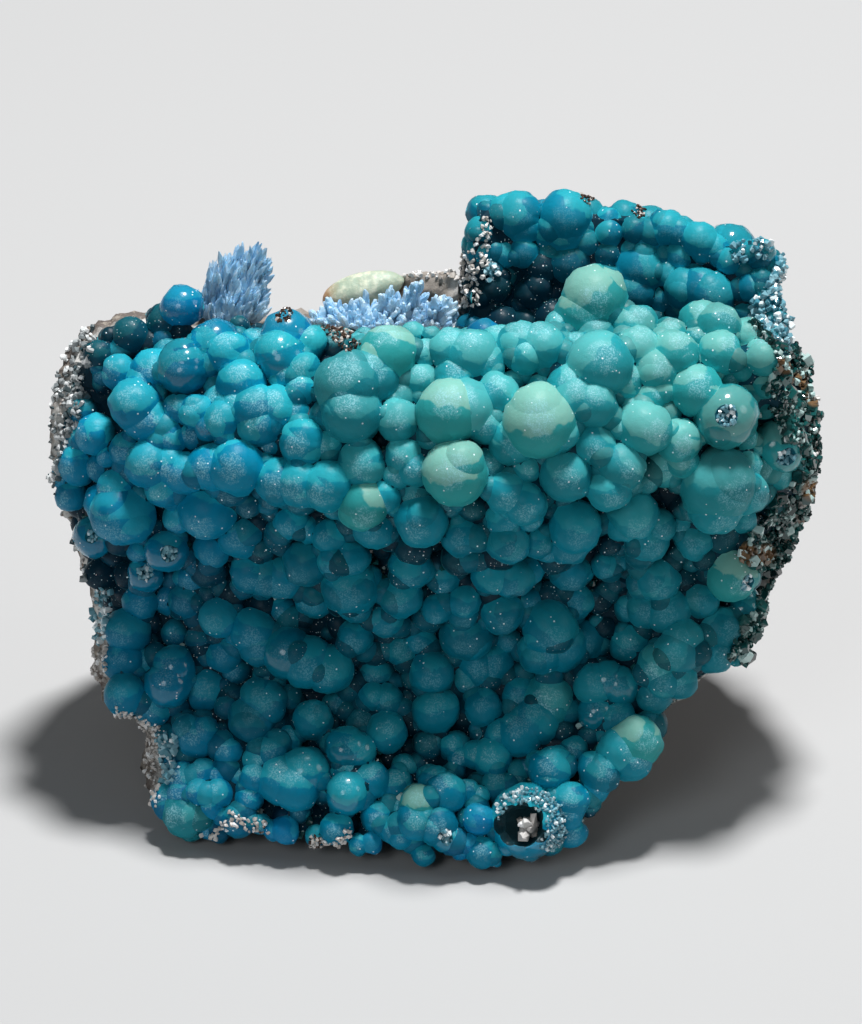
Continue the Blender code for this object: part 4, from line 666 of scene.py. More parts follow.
def fill_bare_places(base, rng):
    """Small balls wherever the sheet between the lumps would show."""
    centres = np.array([ball["centre"] for ball in balls]) / MM
    radii = np.array([ball["radius"] for ball in balls])
    mesh = base.data
    corners = points_of(mesh)
    areas = [face.area for face in mesh.polygons]
    chosen = rng.choices(range(len(areas)), areas, k=BARE_DRAWS)
    added = []
    for index in chosen:
        face = mesh.polygons[index]
        a, b, c = [corners[k] for k in face.vertices[:3]]
        share_b, share_c = sorted((rng.random(), rng.random()))
        place = Vector(a + (b - a) * share_b + (c - a) * (share_c - share_b))
        spot = np.array(place) / MM
        u, v, w = picture_place(place)
        on_wall = place.y > WALL_Y and place.z > WALL_Z
        outward = TO_VIEWER if on_wall else outward_at(u, v)
        if not on_wall and face.normal.dot(outward) < BARE_FACING or place.z < BARE_CLEAR * MM:
            continue
        if inside(RIGHT_FRACTURE, u, v) or inside(LEFT_RIND, u, v):
            continue
        if (np.linalg.norm(centres - spot, axis=1) - radii).min() < -COVERED:
            continue
        if any((place - other).length < BARE_SPACING * MM for other in added):
            continue
        added.append(place)
        radius = rng.uniform(*BARE_RADIUS)
        look = list(lump_look(u, v, not on_wall))
        look[3:5] = 0.1, 0.0
        add_ball(place - face.normal * radius * BARE_SINK * MM, radius, face.normal.copy(), look,
                 rng.gauss(BARE_SHADE, SHADE_SPREAD), rng)
    return len(added)


rng = random.Random(31)
for k, lump in enumerate(lumps):
    grow_lump(lump, k < len(read_lumps), rng)
crust = solid_copy("botryoidal_crust", "crust")
set_points(crust.data, points_of(crust.data) - normals_of(crust.data) * BASE_SHRINK * MM)
print(fill_bare_places(crust, rng), "small balls in the bare places,", len(balls), "balls in all")

# %% One skin round all the balls
crust.data.attributes.new("ball", "FLOAT", "FACE")
boolean_with(crust, workshop, "UNION")
print("crust:", len(crust.data.polygons), "faces")

# %% Bowls where lumps are broken
# Places of broken lumps: (u, v, radius, depth of the bowl's middle below the surface, in radii).
BOWLS = [(26.3, 40.6, 1.5, -0.6), (32.0, 36.8, 1.0, -0.4), (-25.7, 26.6, 0.9, -0.5), (-23.4, 28.2, 1.0, -0.5),
         (1.4, 2.9, 0.8, -0.5), (5.5, 54.0, 0.8, -0.5), (28.6, 25.6, 0.8, -0.5), (-30.6, 29.8, 0.8, -0.5),
         (8.2, 4.0, 1.9, 0.35), (7.0, 4.9, 1.0, 0.0), (9.2, 4.9, 0.9, 0.1), (6.9, 3.0, 0.9, 0.1),
         (6.1, 4.0, 0.9, 0.0), (9.8, 3.1, 0.7, 0.1), (8.2, 5.7, 0.6, -0.2)]
SMALL_BOWLS = 8  # the first ones; the others together open the broken lump
FAR_OUT = 60.0  # mm towards the viewer, clear of the specimen


def open_bowls(obj):
    """Cuts round bowls into the crust where the viewer sees broken lumps."""
    tree = BVHTree.FromObject(obj, bpy.context.evaluated_depsgraph_get())
    for k, (u, v, radius, depth) in enumerate(BOWLS):
        start = to_world(u, v, FAR_OUT)
        hit = tree.ray_cast(start, -TO_VIEWER)[0]
        mesh = unit_balls[3][0].copy()
        set_points(mesh, unit_balls[3][1] * radius * MM + np.array(hit - TO_VIEWER * depth * radius * MM))
        store(mesh, "ball", "FACE", np.full(len(mesh.polygons), -1 - k))
        new_object("bowl", mesh, workshop)
    boolean_with(obj, workshop, "DIFFERENCE")


def unround(obj):
    """Pushes the skin in and out a little, so that no lump is a perfect ball."""
    places = points_of(obj.data)
    long, short = WAVES
    pushes = [noise.noise(Vector(place) * long / MM) + 0.5 * noise.noise(Vector(place) * short / MM)
              for place in places]
    set_points(obj.data, places + normals_of(obj.data) * np.array(pushes)[:, None] * WAVE_REACH * MM)


open_bowls(crust)
unround(crust)
print("crust with bowls:", len(crust.data.polygons), "faces")

# %% Numbers on the skin for the material to read
def ball_array(key):
    return np.array([ball[key] for ball in balls], np.float32)


def number_crust(obj):
    """Gives the skin its look by face, and how each place lies on its own lump by corner."""
    mesh = obj.data
    owner = np.rint(read(mesh.attributes["ball"].data, "value")).astype(int) - 1
    ball_of = np.maximum(owner, 0)
    free = owner < 0
    looks = ball_array("look")
    for column, name in enumerate(("sage", "blue", "top_light_strength", "frost_and_glitter", "gloss", "painted_region_shade")):
        store(mesh, name, "FACE", np.where(free, 0.0, looks[ball_of, column]))
    store(mesh, "tone_and_gap_shade", "FACE", np.where(free, -1.0, ball_array("tone_and_gap_shade")[ball_of]))
    store(mesh, "bowl", "FACE", np.select([owner <= -2 - SMALL_BOWLS, owner <= -2], [1.0, 0.55]))
    centres = ball_array("centre")
    middle = np.where(free[:, None], read_vectors(mesh.polygons, "center"), centres[ball_of])
    on_wall = (middle[:, 1] > WALL_Y) & (middle[:, 2] > WALL_Z)
    store(mesh, "piece", "FACE", np.where(on_wall, 2, middle[:, 0] > 0.0))
    store(mesh, "bare", "FACE", np.where(owner == -1, 1.0, 0.0))
    corners = read(mesh.loops, "vertex_index", np.int32)
    sides = read(mesh.polygons, "loop_total", np.int32)
    places = points_of(mesh)
    corner_ball = np.repeat(ball_of, sides)
    corner_free = np.repeat(free, sides)
    away = places[corners] - centres[corner_ball]
    unit = away / np.linalg.norm(away, axis=1, keepdims=True)
    facing = (unit * ball_array("outward")[corner_ball]).sum(axis=1)
    store(mesh, "facing", "CORNER", np.where(corner_free, 0.0, facing))
    # How far each corner lies inside the painted light on its ball's top.
    painted_top_light = (unit * ball_array("top_light_way")[corner_ball]).sum(axis=1) - ball_array("top_light_edge")[corner_ball]
    store(mesh, "painted_top_light", "CORNER", np.where(corner_free, -1.0, painted_top_light))
    u, v, w = picture_place(places)
    on_wall = (places[:, 1] > WALL_Y) & (places[:, 2] > WALL_Z)
    store(mesh, "sunk", "POINT", np.where(on_wall | (v > FACE_V[1]), 0.0, depth_at(u, v) - w))
    steep = np.stack([ball["steep"] for ball in balls])
    bent = np.einsum("nij,nj->ni", steep[corner_ball], away)
    bent /= np.linalg.norm(bent, axis=1, keepdims=True)
    flat = np.repeat(read_vectors(mesh.polygons, "normal"), sides, axis=0)
    mesh.shade_smooth()
    mesh.normals_split_custom_set(np.where(corner_free[:, None], flat, bent))
    mesh.attributes.remove(mesh.attributes["ball"])


number_crust(crust)
print("triangles in the crust:", triangles_in(crust.data))
print("crust numbered:", ", ".join(layer.name for layer in crust.data.attributes if layer.name[0] != "."))

# %% [markdown]
# ## Writing materials as expressions
#
# A material is a tree of nodes, and a tree drawn by hand is hard to read in a script. One small class
# wraps an output socket and turns +, -, * and the like into Math nodes, so a mask can be written as it
# would be on paper. Colours go through Mix nodes, because a Math node would turn them grey.

# %% A wire and a paint box
class Wire:
    """An output socket that can be used in a sum."""

    def __init__(self, box, socket):
        self.box = box
        self.socket = socket

    def maths(self, operation, first, second):
        return self.box.node("ShaderNodeMath", {"operation": operation}, {0: first, 1: second})

    def __add__(self, other):
        return self.maths("ADD", self, other)

    def __radd__(self, other):
        return self.maths("ADD", other, self)

    def __sub__(self, other):
        return self.maths("SUBTRACT", self, other)

    def __rsub__(self, other):
        return self.maths("SUBTRACT", other, self)

    def __mul__(self, other):
        return self.maths("MULTIPLY", self, other)

    def ramp(self, low, high):
        """0 at low, 1 at high, smooth between; low may be the larger."""
        return self.box.node("ShaderNodeMapRange", {"interpolation_type": "SMOOTHSTEP"},
                             {"Value": self, "From Min": low, "From Max": high})

    def least(self, other):
        return self.maths("MINIMUM", self, other)

    def most(self, other):
        return self.maths("MAXIMUM", self, other)


class Board:
    """A tree of nodes, of a material or of a geometry."""

    def __init__(self, tree):
        self.tree = tree

    def node(self, kind, settings=None, values=None, out=0):
        """Adds a node: its settings first, then the values or links of its sockets."""
        made = self.tree.nodes.new(kind)
        for key, value in (settings or {}).items():
            setattr(made, key, value)
        for key, value in (values or {}).items():
            self.join(made.inputs[key], value)
        return Wire(self, made.outputs[out])

    def join(self, socket, value):
        if isinstance(value, Wire):
            self.tree.links.new(value.socket, socket)
        elif socket.type == "RGBA":
            socket.default_value = (*value, 1.0)
        else:
            socket.default_value = value


class Paint(Board):
    """One material, whose surface is a Principled BSDF."""

    def __init__(self, name, roughness=0.5, **constants):
        self.material = bpy.data.materials.new(name)
        self.material.use_nodes = True
        super().__init__(self.material.node_tree)
        self.shader = self.tree.nodes["Principled BSDF"]
        self.shader.subsurface_method = "BURLEY"
        self.place = self.node("ShaderNodeTexCoord", out="Object")
        self.set("Roughness", roughness)
        for key, value in constants.items():
            self.set(key.replace("_", " "), value)

    def set(self, name, value):
        self.join(self.shader.inputs[name], value)

    def number(self, name):
        """One of the mesh's own numbers."""
        return self.node("ShaderNodeAttribute", {"attribute_name": name}, out="Fac")

    def mix(self, share, first, second):
        """A colour between two others."""
        return self.node("ShaderNodeMix", {"data_type": "RGBA"}, {0: share, 6: first, 7: second}, out=2)

    def clouds(self, size_mm, detail=3.0, rough=0.6, shift=0.0):
        """Soft blotches of about this size, from 0 to 1."""
        moved = self.node("ShaderNodeVectorMath", {"operation": "ADD"}, {0: self.place, 1: (shift,) * 3})
        return self.node("ShaderNodeTexNoise", None, {"Vector": moved, "Scale": 1.0 / (size_mm * MM),
                                                      "Detail": detail, "Roughness": rough})

    def cells(self, size_mm, out="Distance"):
        """Voronoi cells of about this size."""
        return self.node("ShaderNodeTexVoronoi", None,
                         {"Vector": self.place, "Scale": 1.0 / (size_mm * MM)}, out=out)

    def sparkles(self, size_mm, share):
        """Small bright dots, one in every few cells."""
        lucky = self.node("ShaderNodeSeparateColor", None, {0: self.cells(size_mm, out="Color")})
        return self.cells(size_mm).ramp(0.32, 0.2) * lucky.ramp(1.0 - share, 1.0 - share + 0.002)

    def bump(self, height, size_mm, strength):
        """Relief of this size in mm, to be joined to Normal."""
        self.set("Normal", self.node("ShaderNodeBump", None,
                                     {"Strength": strength, "Distance": size_mm * MM, "Height": height}))

    def near(self, u, v, reach):
        """1 at a picture place and 0 further off than the reach in mm."""
        across = self.node("ShaderNodeVectorMath", {"operation": "DOT_PRODUCT"},
                           {0: self.place, 1: (1 / MM, 0.0, 0.0)}, out="Value") - (CENTRING[0] + u)
        up = self.node("ShaderNodeVectorMath", {"operation": "DOT_PRODUCT"},
                       {0: self.place, 1: (0.0, SIN_E / MM, COS_E / MM)}, out="Value")
        up = up - (CENTRING[1] * SIN_E - FLOOR_V + v)
        return (across * across + up * up).ramp(reach * reach, 0.25 * reach * reach)

    def finish(self, obj):
        obj.data.materials.clear()
        obj.data.materials.append(self.material)


print("paint box ready")

# %% [markdown]
# ## The crust's material, with its painted light and shade
#
# The real lumps are waxy and let light in: a lit lump is pale on top and deep teal below, its outer skin
# is frosted in the middle, and a hair-thin rim catches the light. Plain gloss would look like glass beads,
# so the surface is fairly rough, a part of the light goes under it, and a touch of sheen makes the rim.
# The pale tops are painted light, and the colour darkens to navy as painted shade in crevices, the
# valley and the hollows. The frosted middles are partly frosting and partly painted glitter, and small
# white dots are painted glints.

# %% Crust material
TEAL = (0.0005, 0.210, 0.310)
BLUE = (0.0005, 0.180, 0.380)
SAGE = (0.030, 0.310, 0.290)
# Painted light on the tops of teal lumps and of sage lumps.
TOP_LIT_TEAL = (0.035, 0.480, 0.510)
TOP_LIT_SAGE = (0.270, 0.510, 0.415)
# Painted shade for crevices, the valley, the gaps and the bare sheet.
SHADE_NAVY = (0.0010, 0.012, 0.024)
# Pale frosting mixed with painted glitter.
FROST_AND_GLITTER = (0.31, 0.60, 0.67)


def paint_crust():
    box = Paint("waxy_teal", Subsurface_Weight=0.7, Subsurface_Radius=(0.3, 1.0, 1.1),
                Subsurface_Scale=1.2 * MM, IOR=1.45, Specular_IOR_Level=0.15, Sheen_Weight=0.18,
                Sheen_Roughness=0.25, Sheen_Tint=(0.05, 0.75, 0.90), Coat_Roughness=0.08)
    sage, blue, top_light_strength, frost_and_glitter, gloss, painted_region_shade = [box.number(name) for name in
                                           ("sage", "blue", "top_light_strength", "frost_and_glitter", "gloss", "painted_region_shade")]
    tone_and_gap_shade = box.number("tone_and_gap_shade")
    colour = box.mix(blue, TEAL, BLUE)
    colour = box.mix(sage * 0.8, colour, SAGE)
    patchy = box.clouds(1.1, detail=2.0)
    # Painted light: each lump's top is paler, as if lit from above, with a scalloped lower edge.
    scallop = box.cells(1.6)
    painted_top_light = (box.number("painted_top_light") + scallop * 0.30 + patchy * 0.25).ramp(0.26, 0.34)
    colour = box.mix(painted_top_light * (0.1 + top_light_strength * 0.6), colour, box.mix(sage * sage, TOP_LIT_TEAL, TOP_LIT_SAGE))
    # Painted shade: towards navy the deeper a place sits below the crust's mean surface, in the valley and
    # the hollow, on balls that fill gaps, and on the bare sheet.
    painted_recess_shade = box.number("sunk").ramp(-0.5, 1.7)
    dark = (painted_recess_shade * 0.95).most(painted_region_shade) + (tone_and_gap_shade * -0.25).most(0.0) + box.number("bare") * 0.6
    colour = box.mix(dark.least(0.96), colour, SHADE_NAVY)
    # The pale middle of each lump is partly its frosted skin and partly painted glitter.
    grain = box.clouds(0.15, detail=1.0, rough=0.9)
    ragged = box.clouds(0.5, detail=2.0, rough=0.7, shift=0.02)
    patch = (box.number("facing") + patchy * 0.35 + ragged * 0.30).ramp(1.14, 1.34)
    frost_and_glitter_patch = patch * (grain.ramp(0.46, 0.62) * 0.85 + 0.15) * frost_and_glitter * (1.0 - dark * 0.9).most(0.0)
    colour = box.mix((frost_and_glitter_patch * 0.85).least(1.0), colour, FROST_AND_GLITTER)
    # Painted shade inside the bowls, darkest in the broken-open lump.
    colour = box.mix(box.number("bowl") * 0.9, colour, (0.01, 0.02, 0.022))
    # Painted glints: small white dots over the skin, and in the dark crevices more, partly white specks.
    dots = box.sparkles(0.30, 0.03)
    dust_and_glints = box.sparkles(0.17, 0.10) * dark.ramp(0.5, 0.9)
    colour = box.mix(dots.most(dust_and_glints) * 0.8, colour, (0.9, 0.97, 1.0))
    box.set("Base Color", colour)
    box.set("Roughness", 0.42 + frost_and_glitter_patch * 0.3 - gloss * 0.22)
    box.set("Coat Weight", gloss * 0.8)
    box.bump(grain * frost_and_glitter * 0.35 + patchy, 0.14, 0.6)
    return box


def part_of(obj, name, piece):
    """A new piece with the faces that carry its number."""
    made = new_object(name, obj.data.copy())
    numbers = read(made.data.attributes["piece"].data, "value")
    bm = bmesh_of(made.data)
    bmesh.ops.delete(bm, geom=[bm.faces[i] for i in np.flatnonzero(numbers != piece)], context="FACES")
    bm.to_mesh(made.data)
    bm.free()
    return made


crust_box = paint_crust()
for k, name in enumerate(("crust_left", "crust_right", "crust_hollow")):
    piece = part_of(crust, name, k)
    crust_box.finish(piece)
    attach(piece, "root")
    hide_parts("botryoidal_crust")
    print(piece.name, triangles_in(piece.data), "triangles")

# %% [markdown]
# ## The rock
#
# The rock under the crust broke off rough: flat fracture faces with granular patches between them. The
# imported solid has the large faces, so the copy is only given a fine even mesh, and its points are pushed a
# little in or out by layered noise, so that the specimen keeps its size.

# %% Rock mesh
ROCK_VOXEL = 0.42  # mm
BLOCKS, GRAINS, POWDER = 0.34, 0.9, 2.3  # how many for each mm, of the three sizes of roughness
RIND_REACH = 6.0  # mm from the crust, up to which the rock measures how far off it is


def rough_rock():
    rock = solid_copy("matrix_rock", "rock")
    even = rock.modifiers.new("even", "REMESH")
    even.mode = "VOXEL"
    even.voxel_size = ROCK_VOXEL * MM
    apply_modifiers(rock)
    places = points_of(rock.data)
    normals = normals_of(rock.data)
    crust_tree = BVHTree.FromObject(crust, bpy.context.evaluated_depsgraph_get())
    moved = np.empty_like(places)
    rind = np.empty(len(places), np.float32)
    for i, (place, normal) in enumerate(zip(places, normals)):
        spot = Vector(place) / MM
        blocks = noise.voronoi(spot * BLOCKS)[0]
        step = 0.7 * min(blocks[1] - blocks[0], 0.6)
        grain = 0.5 + 0.5 * noise.fractal(spot * GRAINS, 0.9, 2.1, 4)
        fine = abs(noise.noise(spot * POWDER))
        depth = 0.75 * grain + 0.55 * (0.6 - step) + 0.25 * fine
        keep_flat = smooth(0.05, 0.7, spot.z)
        moved[i] = place + normal * (0.8 - depth) * keep_flat * MM
        hit = crust_tree.find_nearest(Vector(place), RIND_REACH * MM)
        rind[i] = hit[3] / MM if hit[0] is not None else RIND_REACH
    set_points(rock.data, moved)
    store(rock.data, "rind", "POINT", rind)
    rock.data.shade_smooth()
    rock.data.set_sharp_from_angle(angle=math.radians(38))
    return rock


rock = rough_rock()
print("rock:", len(rock.data.polygons), "faces")

# %% Rock material
def paint_rock():
    box = Paint("grey_brown_rock", IOR=1.5)
    blotch = box.clouds(9.0, detail=6.0, rough=0.65)
    fine = box.clouds(0.8, detail=6.0, rough=0.7, shift=0.01)
    colour = box.mix(blotch.ramp(0.42, 0.62), (0.12, 0.10, 0.088), (0.27, 0.24, 0.21))
    colour = box.mix(fine.ramp(0.5, 0.72), colour, (0.46, 0.41, 0.34))
    rust = box.clouds(7.0, detail=6.0, rough=0.7, shift=0.05).ramp(0.58, 0.70)
    colour = box.mix(rust * 0.8, colour, (0.24, 0.085, 0.025))
    dark = box.clouds(2.6, detail=5.0, rough=0.7, shift=0.09).ramp(0.57, 0.68)
    colour = box.mix(dark * 0.8, colour, (0.025, 0.018, 0.014))
    rind = box.number("rind")
    pale = (rind + fine * 2.4).ramp(2.6, 1.6)
    colour = box.mix(pale * 0.9, colour, (0.68, 0.67, 0.64))
    glints = box.sparkles(0.5, 0.025)
    colour = box.mix(glints, colour, (0.85, 0.86, 0.84))
    box.set("Base Color", colour)
    box.set("Roughness", 0.85 - glints * 0.6)
    box.bump(fine, 0.25, 0.6)
    return box


paint_rock().finish(rock)
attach(rock, "root")
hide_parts("matrix_rock")
print("rock painted")

# %% [markdown]
# ## Scattering small crystals
#
# Broken edges, small bowls and the pale blue groups are covered with small crystals. Each patch is made
# by one tree of Geometry Nodes: points are spread over a ground mesh, a crystal is stood on each of them
# along the ground's own growing direction, and sizes and turns vary at random from a fixed seed.

# %% The scatter tree
def tree_input(tree, name, kind, value=None):
    socket = tree.interface.new_socket(name, in_out="INPUT", socket_type=kind)
    if value is not None:
        socket.default_value = value


def scatter_tree():
    tree = bpy.data.node_groups.new("scatter", "GeometryNodeTree")
    tree_input(tree, "Ground", "NodeSocketGeometry")
    tree_input(tree, "Crystals", "NodeSocketCollection")
    tree_input(tree, "Per square metre", "NodeSocketFloat", 1e6)
    tree_input(tree, "Smallest", "NodeSocketFloat", 0.5)
    tree_input(tree, "Largest", "NodeSocketFloat", 1.0)
    tree_input(tree, "Tilt", "NodeSocketFloat", 0.5)
    tree_input(tree, "Seed", "NodeSocketInt", 1)
    tree_input(tree, "Material", "NodeSocketMaterial")
    tree.interface.new_socket("Grown", in_out="OUTPUT", socket_type="NodeSocketGeometry")
    box = Board(tree)
    given = tree.nodes.new("NodeGroupInput")
    entry = {socket.name: Wire(box, socket) for socket in given.outputs}
    spread = box.node("GeometryNodeDistributePointsOnFaces", {"distribute_method": "RANDOM"},
                      {"Mesh": entry["Ground"], "Density": entry["Per square metre"], "Seed": entry["Seed"]})
    grow = box.node("GeometryNodeInputNamedAttribute", {"data_type": "FLOAT_VECTOR"}, {"Name": "grow"})
    stand = box.node("FunctionNodeAlignRotationToVector", {"axis": "Z"}, {"Vector": grow})
    lean = box.node("FunctionNodeRandomValue", {"data_type": "FLOAT_VECTOR"},
                    {0: (-1.0, -1.0, -math.pi), 1: (1.0, 1.0, math.pi), "Seed": entry["Seed"] + 1})
    tilt = box.node("ShaderNodeCombineXYZ", None, {0: entry["Tilt"], 1: entry["Tilt"], 2: 1.0})
    lean = box.node("ShaderNodeVectorMath", {"operation": "MULTIPLY"}, {0: lean, 1: tilt})
    lean = box.node("FunctionNodeEulerToRotation", None, {0: lean})
    turn = box.node("FunctionNodeRotateRotation", {"rotation_space": "LOCAL"}, {0: stand, 1: lean})
    size = box.node("FunctionNodeRandomValue", {"data_type": "FLOAT"},
                    {2: entry["Smallest"], 3: entry["Largest"], "Seed": entry["Seed"] + 2}, out=1)
    kinds = box.node("GeometryNodeCollectionInfo", None,
                     {"Collection": entry["Crystals"], "Separate Children": True, "Reset Children": True})
    placed = box.node("GeometryNodeInstanceOnPoints", None,
                      {"Points": spread, "Instance": kinds, "Pick Instance": True, "Rotation": turn,
                       "Scale": size})
    tint = box.node("FunctionNodeRandomValue", {"data_type": "FLOAT"},
                    {2: 0.0, 3: 1.0, "Seed": entry["Seed"] + 3}, out=1)
    tinted = box.node("GeometryNodeStoreNamedAttribute", {"data_type": "FLOAT", "domain": "INSTANCE"},
                      {"Geometry": placed, "Name": "tint", "Value": tint})
    real = box.node("GeometryNodeRealizeInstances", None, {0: tinted})
    dressed = box.node("GeometryNodeSetMaterial", None, {0: real, "Material": entry["Material"]})
    out = tree.nodes.new("NodeGroupOutput")
    tree.links.new(dressed.socket, out.inputs[0])
    return tree


SCATTER = scatter_tree()


def crystal_kind(seed, sides, slender, blunt, collection):
    """One small crystal with flat faces, a unit wide, whose foot is just under the ground."""
    rng = random.Random(seed)
    bm = bmesh.new()
    rings = ((-0.35, 0.42), (0.62 * slender, 0.5), (slender, 0.5 * blunt))  # height and half width
    for height, width in rings:
        for k in range(sides):
            angle = math.tau * (k + rng.uniform(-0.2, 0.2)) / sides
            reach = width * rng.uniform(0.8, 1.1)
            lift = height + slender * rng.uniform(-0.12, 0.12)
            bm.verts.new((math.cos(angle) * reach, math.sin(angle) * reach * rng.uniform(0.6, 1.0), lift))
    hull = bmesh.ops.convex_hull(bm, input=bm.verts)
    inner = [item for item in hull["geom_interior"] if isinstance(item, bmesh.types.BMVert)]
    bmesh.ops.delete(bm, geom=inner, context="VERTS")
    bmesh.ops.recalc_face_normals(bm, faces=bm.faces)
    object_from("kind", bm, collection)


def crystal_kinds(name, count, sides, slender, blunt):
    collection = bpy.data.collections.new(name)
    bpy.context.scene.collection.children.link(collection)
    for k in range(count):
        crystal_kind(k + 1, sides, slender, blunt, collection)
    return collection


def ground_from(name, mesh, keep, grow=None):
    """The faces of a mesh that pass a test, as a ground for crystals, with the way they grow."""
    bm = bmesh_of(mesh)
    bmesh.ops.delete(bm, geom=[face for face in bm.faces if not keep(face)], context="FACES")
    ground = object_from(name, bm)
    ways = normals_of(ground.data)
    if grow is not None:
        ways = np.array([grow(place, normal) for place, normal in zip(points_of(ground.data), ways)])
    store(ground.data, "grow", "POINT", ways, "FLOAT_VECTOR")
    return ground


def scatter(ground, kinds, per_mm2, smallest_mm, largest_mm, tilt, seed, material):
    """Grows crystals on a ground, which becomes the finished piece."""
    grown = ground.modifiers.new("scatter", "NODES")
    grown.node_group = SCATTER
    values = {"Crystals": kinds, "Per square metre": per_mm2 * 1e6, "Smallest": smallest_mm * MM,
              "Largest": largest_mm * MM, "Tilt": tilt, "Seed": seed, "Material": material}
    for item in SCATTER.interface.items_tree:
        if item.name in values:
            grown[item.identifier] = values[item.name]
    apply_modifiers(ground)


# Name, how many different ones, sides, slenderness, and the tip's width as a share of the middle's.
blades = crystal_kinds("blades", 5, 5, 1.6, 0.5)
shards = crystal_kinds("shards", 5, 4, 0.7, 0.8)
grains = crystal_kinds("grains", 4, 4, 0.5, 0.6)
plates = crystal_kinds("plates", 5, 5, 0.3, 0.85)
feathers = crystal_kinds("feathers", 5, 4, 2.8, 0.3)
print("scatter tree:", len(SCATTER.nodes), "nodes")

# %% [markdown]
# ## Broken edges and bowls
#
# Where the specimen broke, the crust shows its cut edge: dark green glassy splinters, most of all at the
# right end and there with some larger plates, a white and dark rind at the left, and white and rusty
# grains where the rock begins. Eight lumps are open bowls lined with icy crystals, and one near the foot
# is hollow, with a white crystal inside. All are scattered on the faces that they really grow on.

# %% Materials for splinters, ice and grains
FRACTURE_BROWN = [(28.2, 28.3, 1.3), (30.2, 28.2, 1.2), (34.3, 34.0, 1.2),
                  (31.6, 45.2, 1.0), (33.2, 43.8, 1.0), (34.6, 42.4, 1.0)]  # (u, v, reach) in mm


def paint_tinted(name, dark, light, bright, roughness, brown=(), **constants):
    """Crystals that differ from one to the next: dark, light, and a few bright ones, with brown places."""
    box = Paint(name, **constants)
    tint = box.number("tint")
    colour = box.mix(tint, dark, light)
    for u, v, reach in brown:
        colour = box.mix(box.near(u, v, reach) * 0.9, colour, (0.20, 0.11, 0.05))
    colour = box.mix(tint.ramp(0.80, 0.84), colour, bright)
    patch = box.clouds(0.5)
    box.set("Base Color", colour)
    box.set("Roughness", roughness + patch * 0.1)
    box.bump(patch, 0.04, 0.3)
    return box


splinter_paint = paint_tinted("green_glass_splinters", (0.002, 0.016, 0.016), (0.010, 0.110, 0.105),
                              (0.42, 0.58, 0.56), 0.06, FRACTURE_BROWN, IOR=1.7)
ice_paint = paint_tinted("icy_crystals", (0.04, 0.20, 0.27), (0.32, 0.55, 0.62),
                         (0.80, 0.88, 0.90), 0.08, IOR=1.6)
white_paint = paint_tinted("white_crystals", (0.45, 0.40, 0.36), (0.70, 0.70, 0.69), (0.85, 0.86, 0.86), 0.3)
rind_paint = paint_tinted("white_and_dark_rind", (0.02, 0.05, 0.06), (0.62, 0.64, 0.64),
                          (0.86, 0.87, 0.87), 0.25)
grain_paint = paint_tinted("white_and_rusty_grains", (0.22, 0.16, 0.12), (0.50, 0.50, 0.50),
                           (0.78, 0.79, 0.79), 0.6, IOR=1.5)
druse_paint = paint_tinted("brown_druse", (0.020, 0.012, 0.010), (0.10, 0.055, 0.035),
                           (0.55, 0.50, 0.46), 0.15)
print("six more materials")

# %% Which faces the viewer sees inside an outline
def round_outline(u, v, radius):
    angles = [math.tau * k / 16 for k in range(16)]
    return [(u + radius * math.cos(angle), v + radius * math.sin(angle)) for angle in angles]


def facing_faces(obj):
    """An object's mesh, which of its faces are turned to the viewer, their places, and a tree for rays."""
    ways = read_vectors(obj.data.polygons, "normal")
    turned = np.flatnonzero(ways @ np.array(TO_VIEWER) > 0.05)
    u, v, w = picture_place(read_vectors(obj.data.polygons, "center")[turned])
    return obj.data, turned, u, v, BVHTree.FromObject(obj, bpy.context.evaluated_depsgraph_get())


stone = [facing_faces(crust), facing_faces(rock)]


def seen_ground(name, outlines, left_out=()):
    """A ground for crystals from all that the viewer sees of the crust and the rock inside some outlines."""
    places = []
    faces = []
    ways = []
    for mesh, turned, u, v, _ in stone:
        wanted = sum(inside(outline, u, v) for outline in outlines) > 0
        for outline in left_out:
            wanted &= ~inside(outline, u, v)
        for index in turned[wanted]:
            face = mesh.polygons[index]
            start = face.center + face.normal * 0.02 * MM
            if all(tree.ray_cast(start, TO_VIEWER)[0] is None for *_, tree in stone):
                faces.append(range(len(places), len(places) + len(face.vertices)))
                places.extend(mesh.vertices[k].co[:] for k in face.vertices)
                ways.extend([face.normal[:]] * len(face.vertices))
    mesh = bpy.data.meshes.new(name)
    mesh.from_pydata(places, [], faces)
    store(mesh, "grow", "POINT", ways, "FLOAT_VECTOR")
    return new_object(name, mesh)


# %% Splinters on broken edges, ice in the bowls, grains on the rind
ABOUT_OPEN_LUMP = round_outline(8.4, 4.2, 3.2)
OPEN_LUMP_RIM = [(5.7, 4.0), (6.2, 6.4), (8.3, 7.5), (10.2, 6.9), (12.0, 5.4), (12.2, 2.6), (10.6, 1.6),
                 (9.6, 2.0), (10.3, 3.6), (10.2, 5.1), (8.6, 6.1), (6.9, 5.9), (6.1, 4.6)]
RIGHT_RIM = [(32.6, 50.0), (33.9, 46.6), (34.3, 44.5), (34.5, 42.0), (34.6, 40.0), (34.3, 36.0), (33.8, 33.5),
             (33.0, 31.5), (34.2, 30.6), (36.5, 34.0), (37.0, 42.0), (35.5, 47.5), (34.0, 51.0)]
ICY_EDGES = [
    [(28.6, 50.0), (30.2, 47.6), (32.0, 46.6), (34.5, 47.0), (33.6, 51.5), (32.0, 56.0), (29.8, 52.0)],
    [(-30.8, 20.0), (-29.2, 20.0), (-29.0, 25.0), (-30.4, 25.4)],
    [(-24.4, 7.6), (-23.0, 7.8), (-22.8, 12.0), (-24.6, 12.2)],
    round_outline(28.1, 55.6, 0.9), round_outline(29.9, 55.8, 0.9), round_outline(5.4, 54.0, 0.8),
]
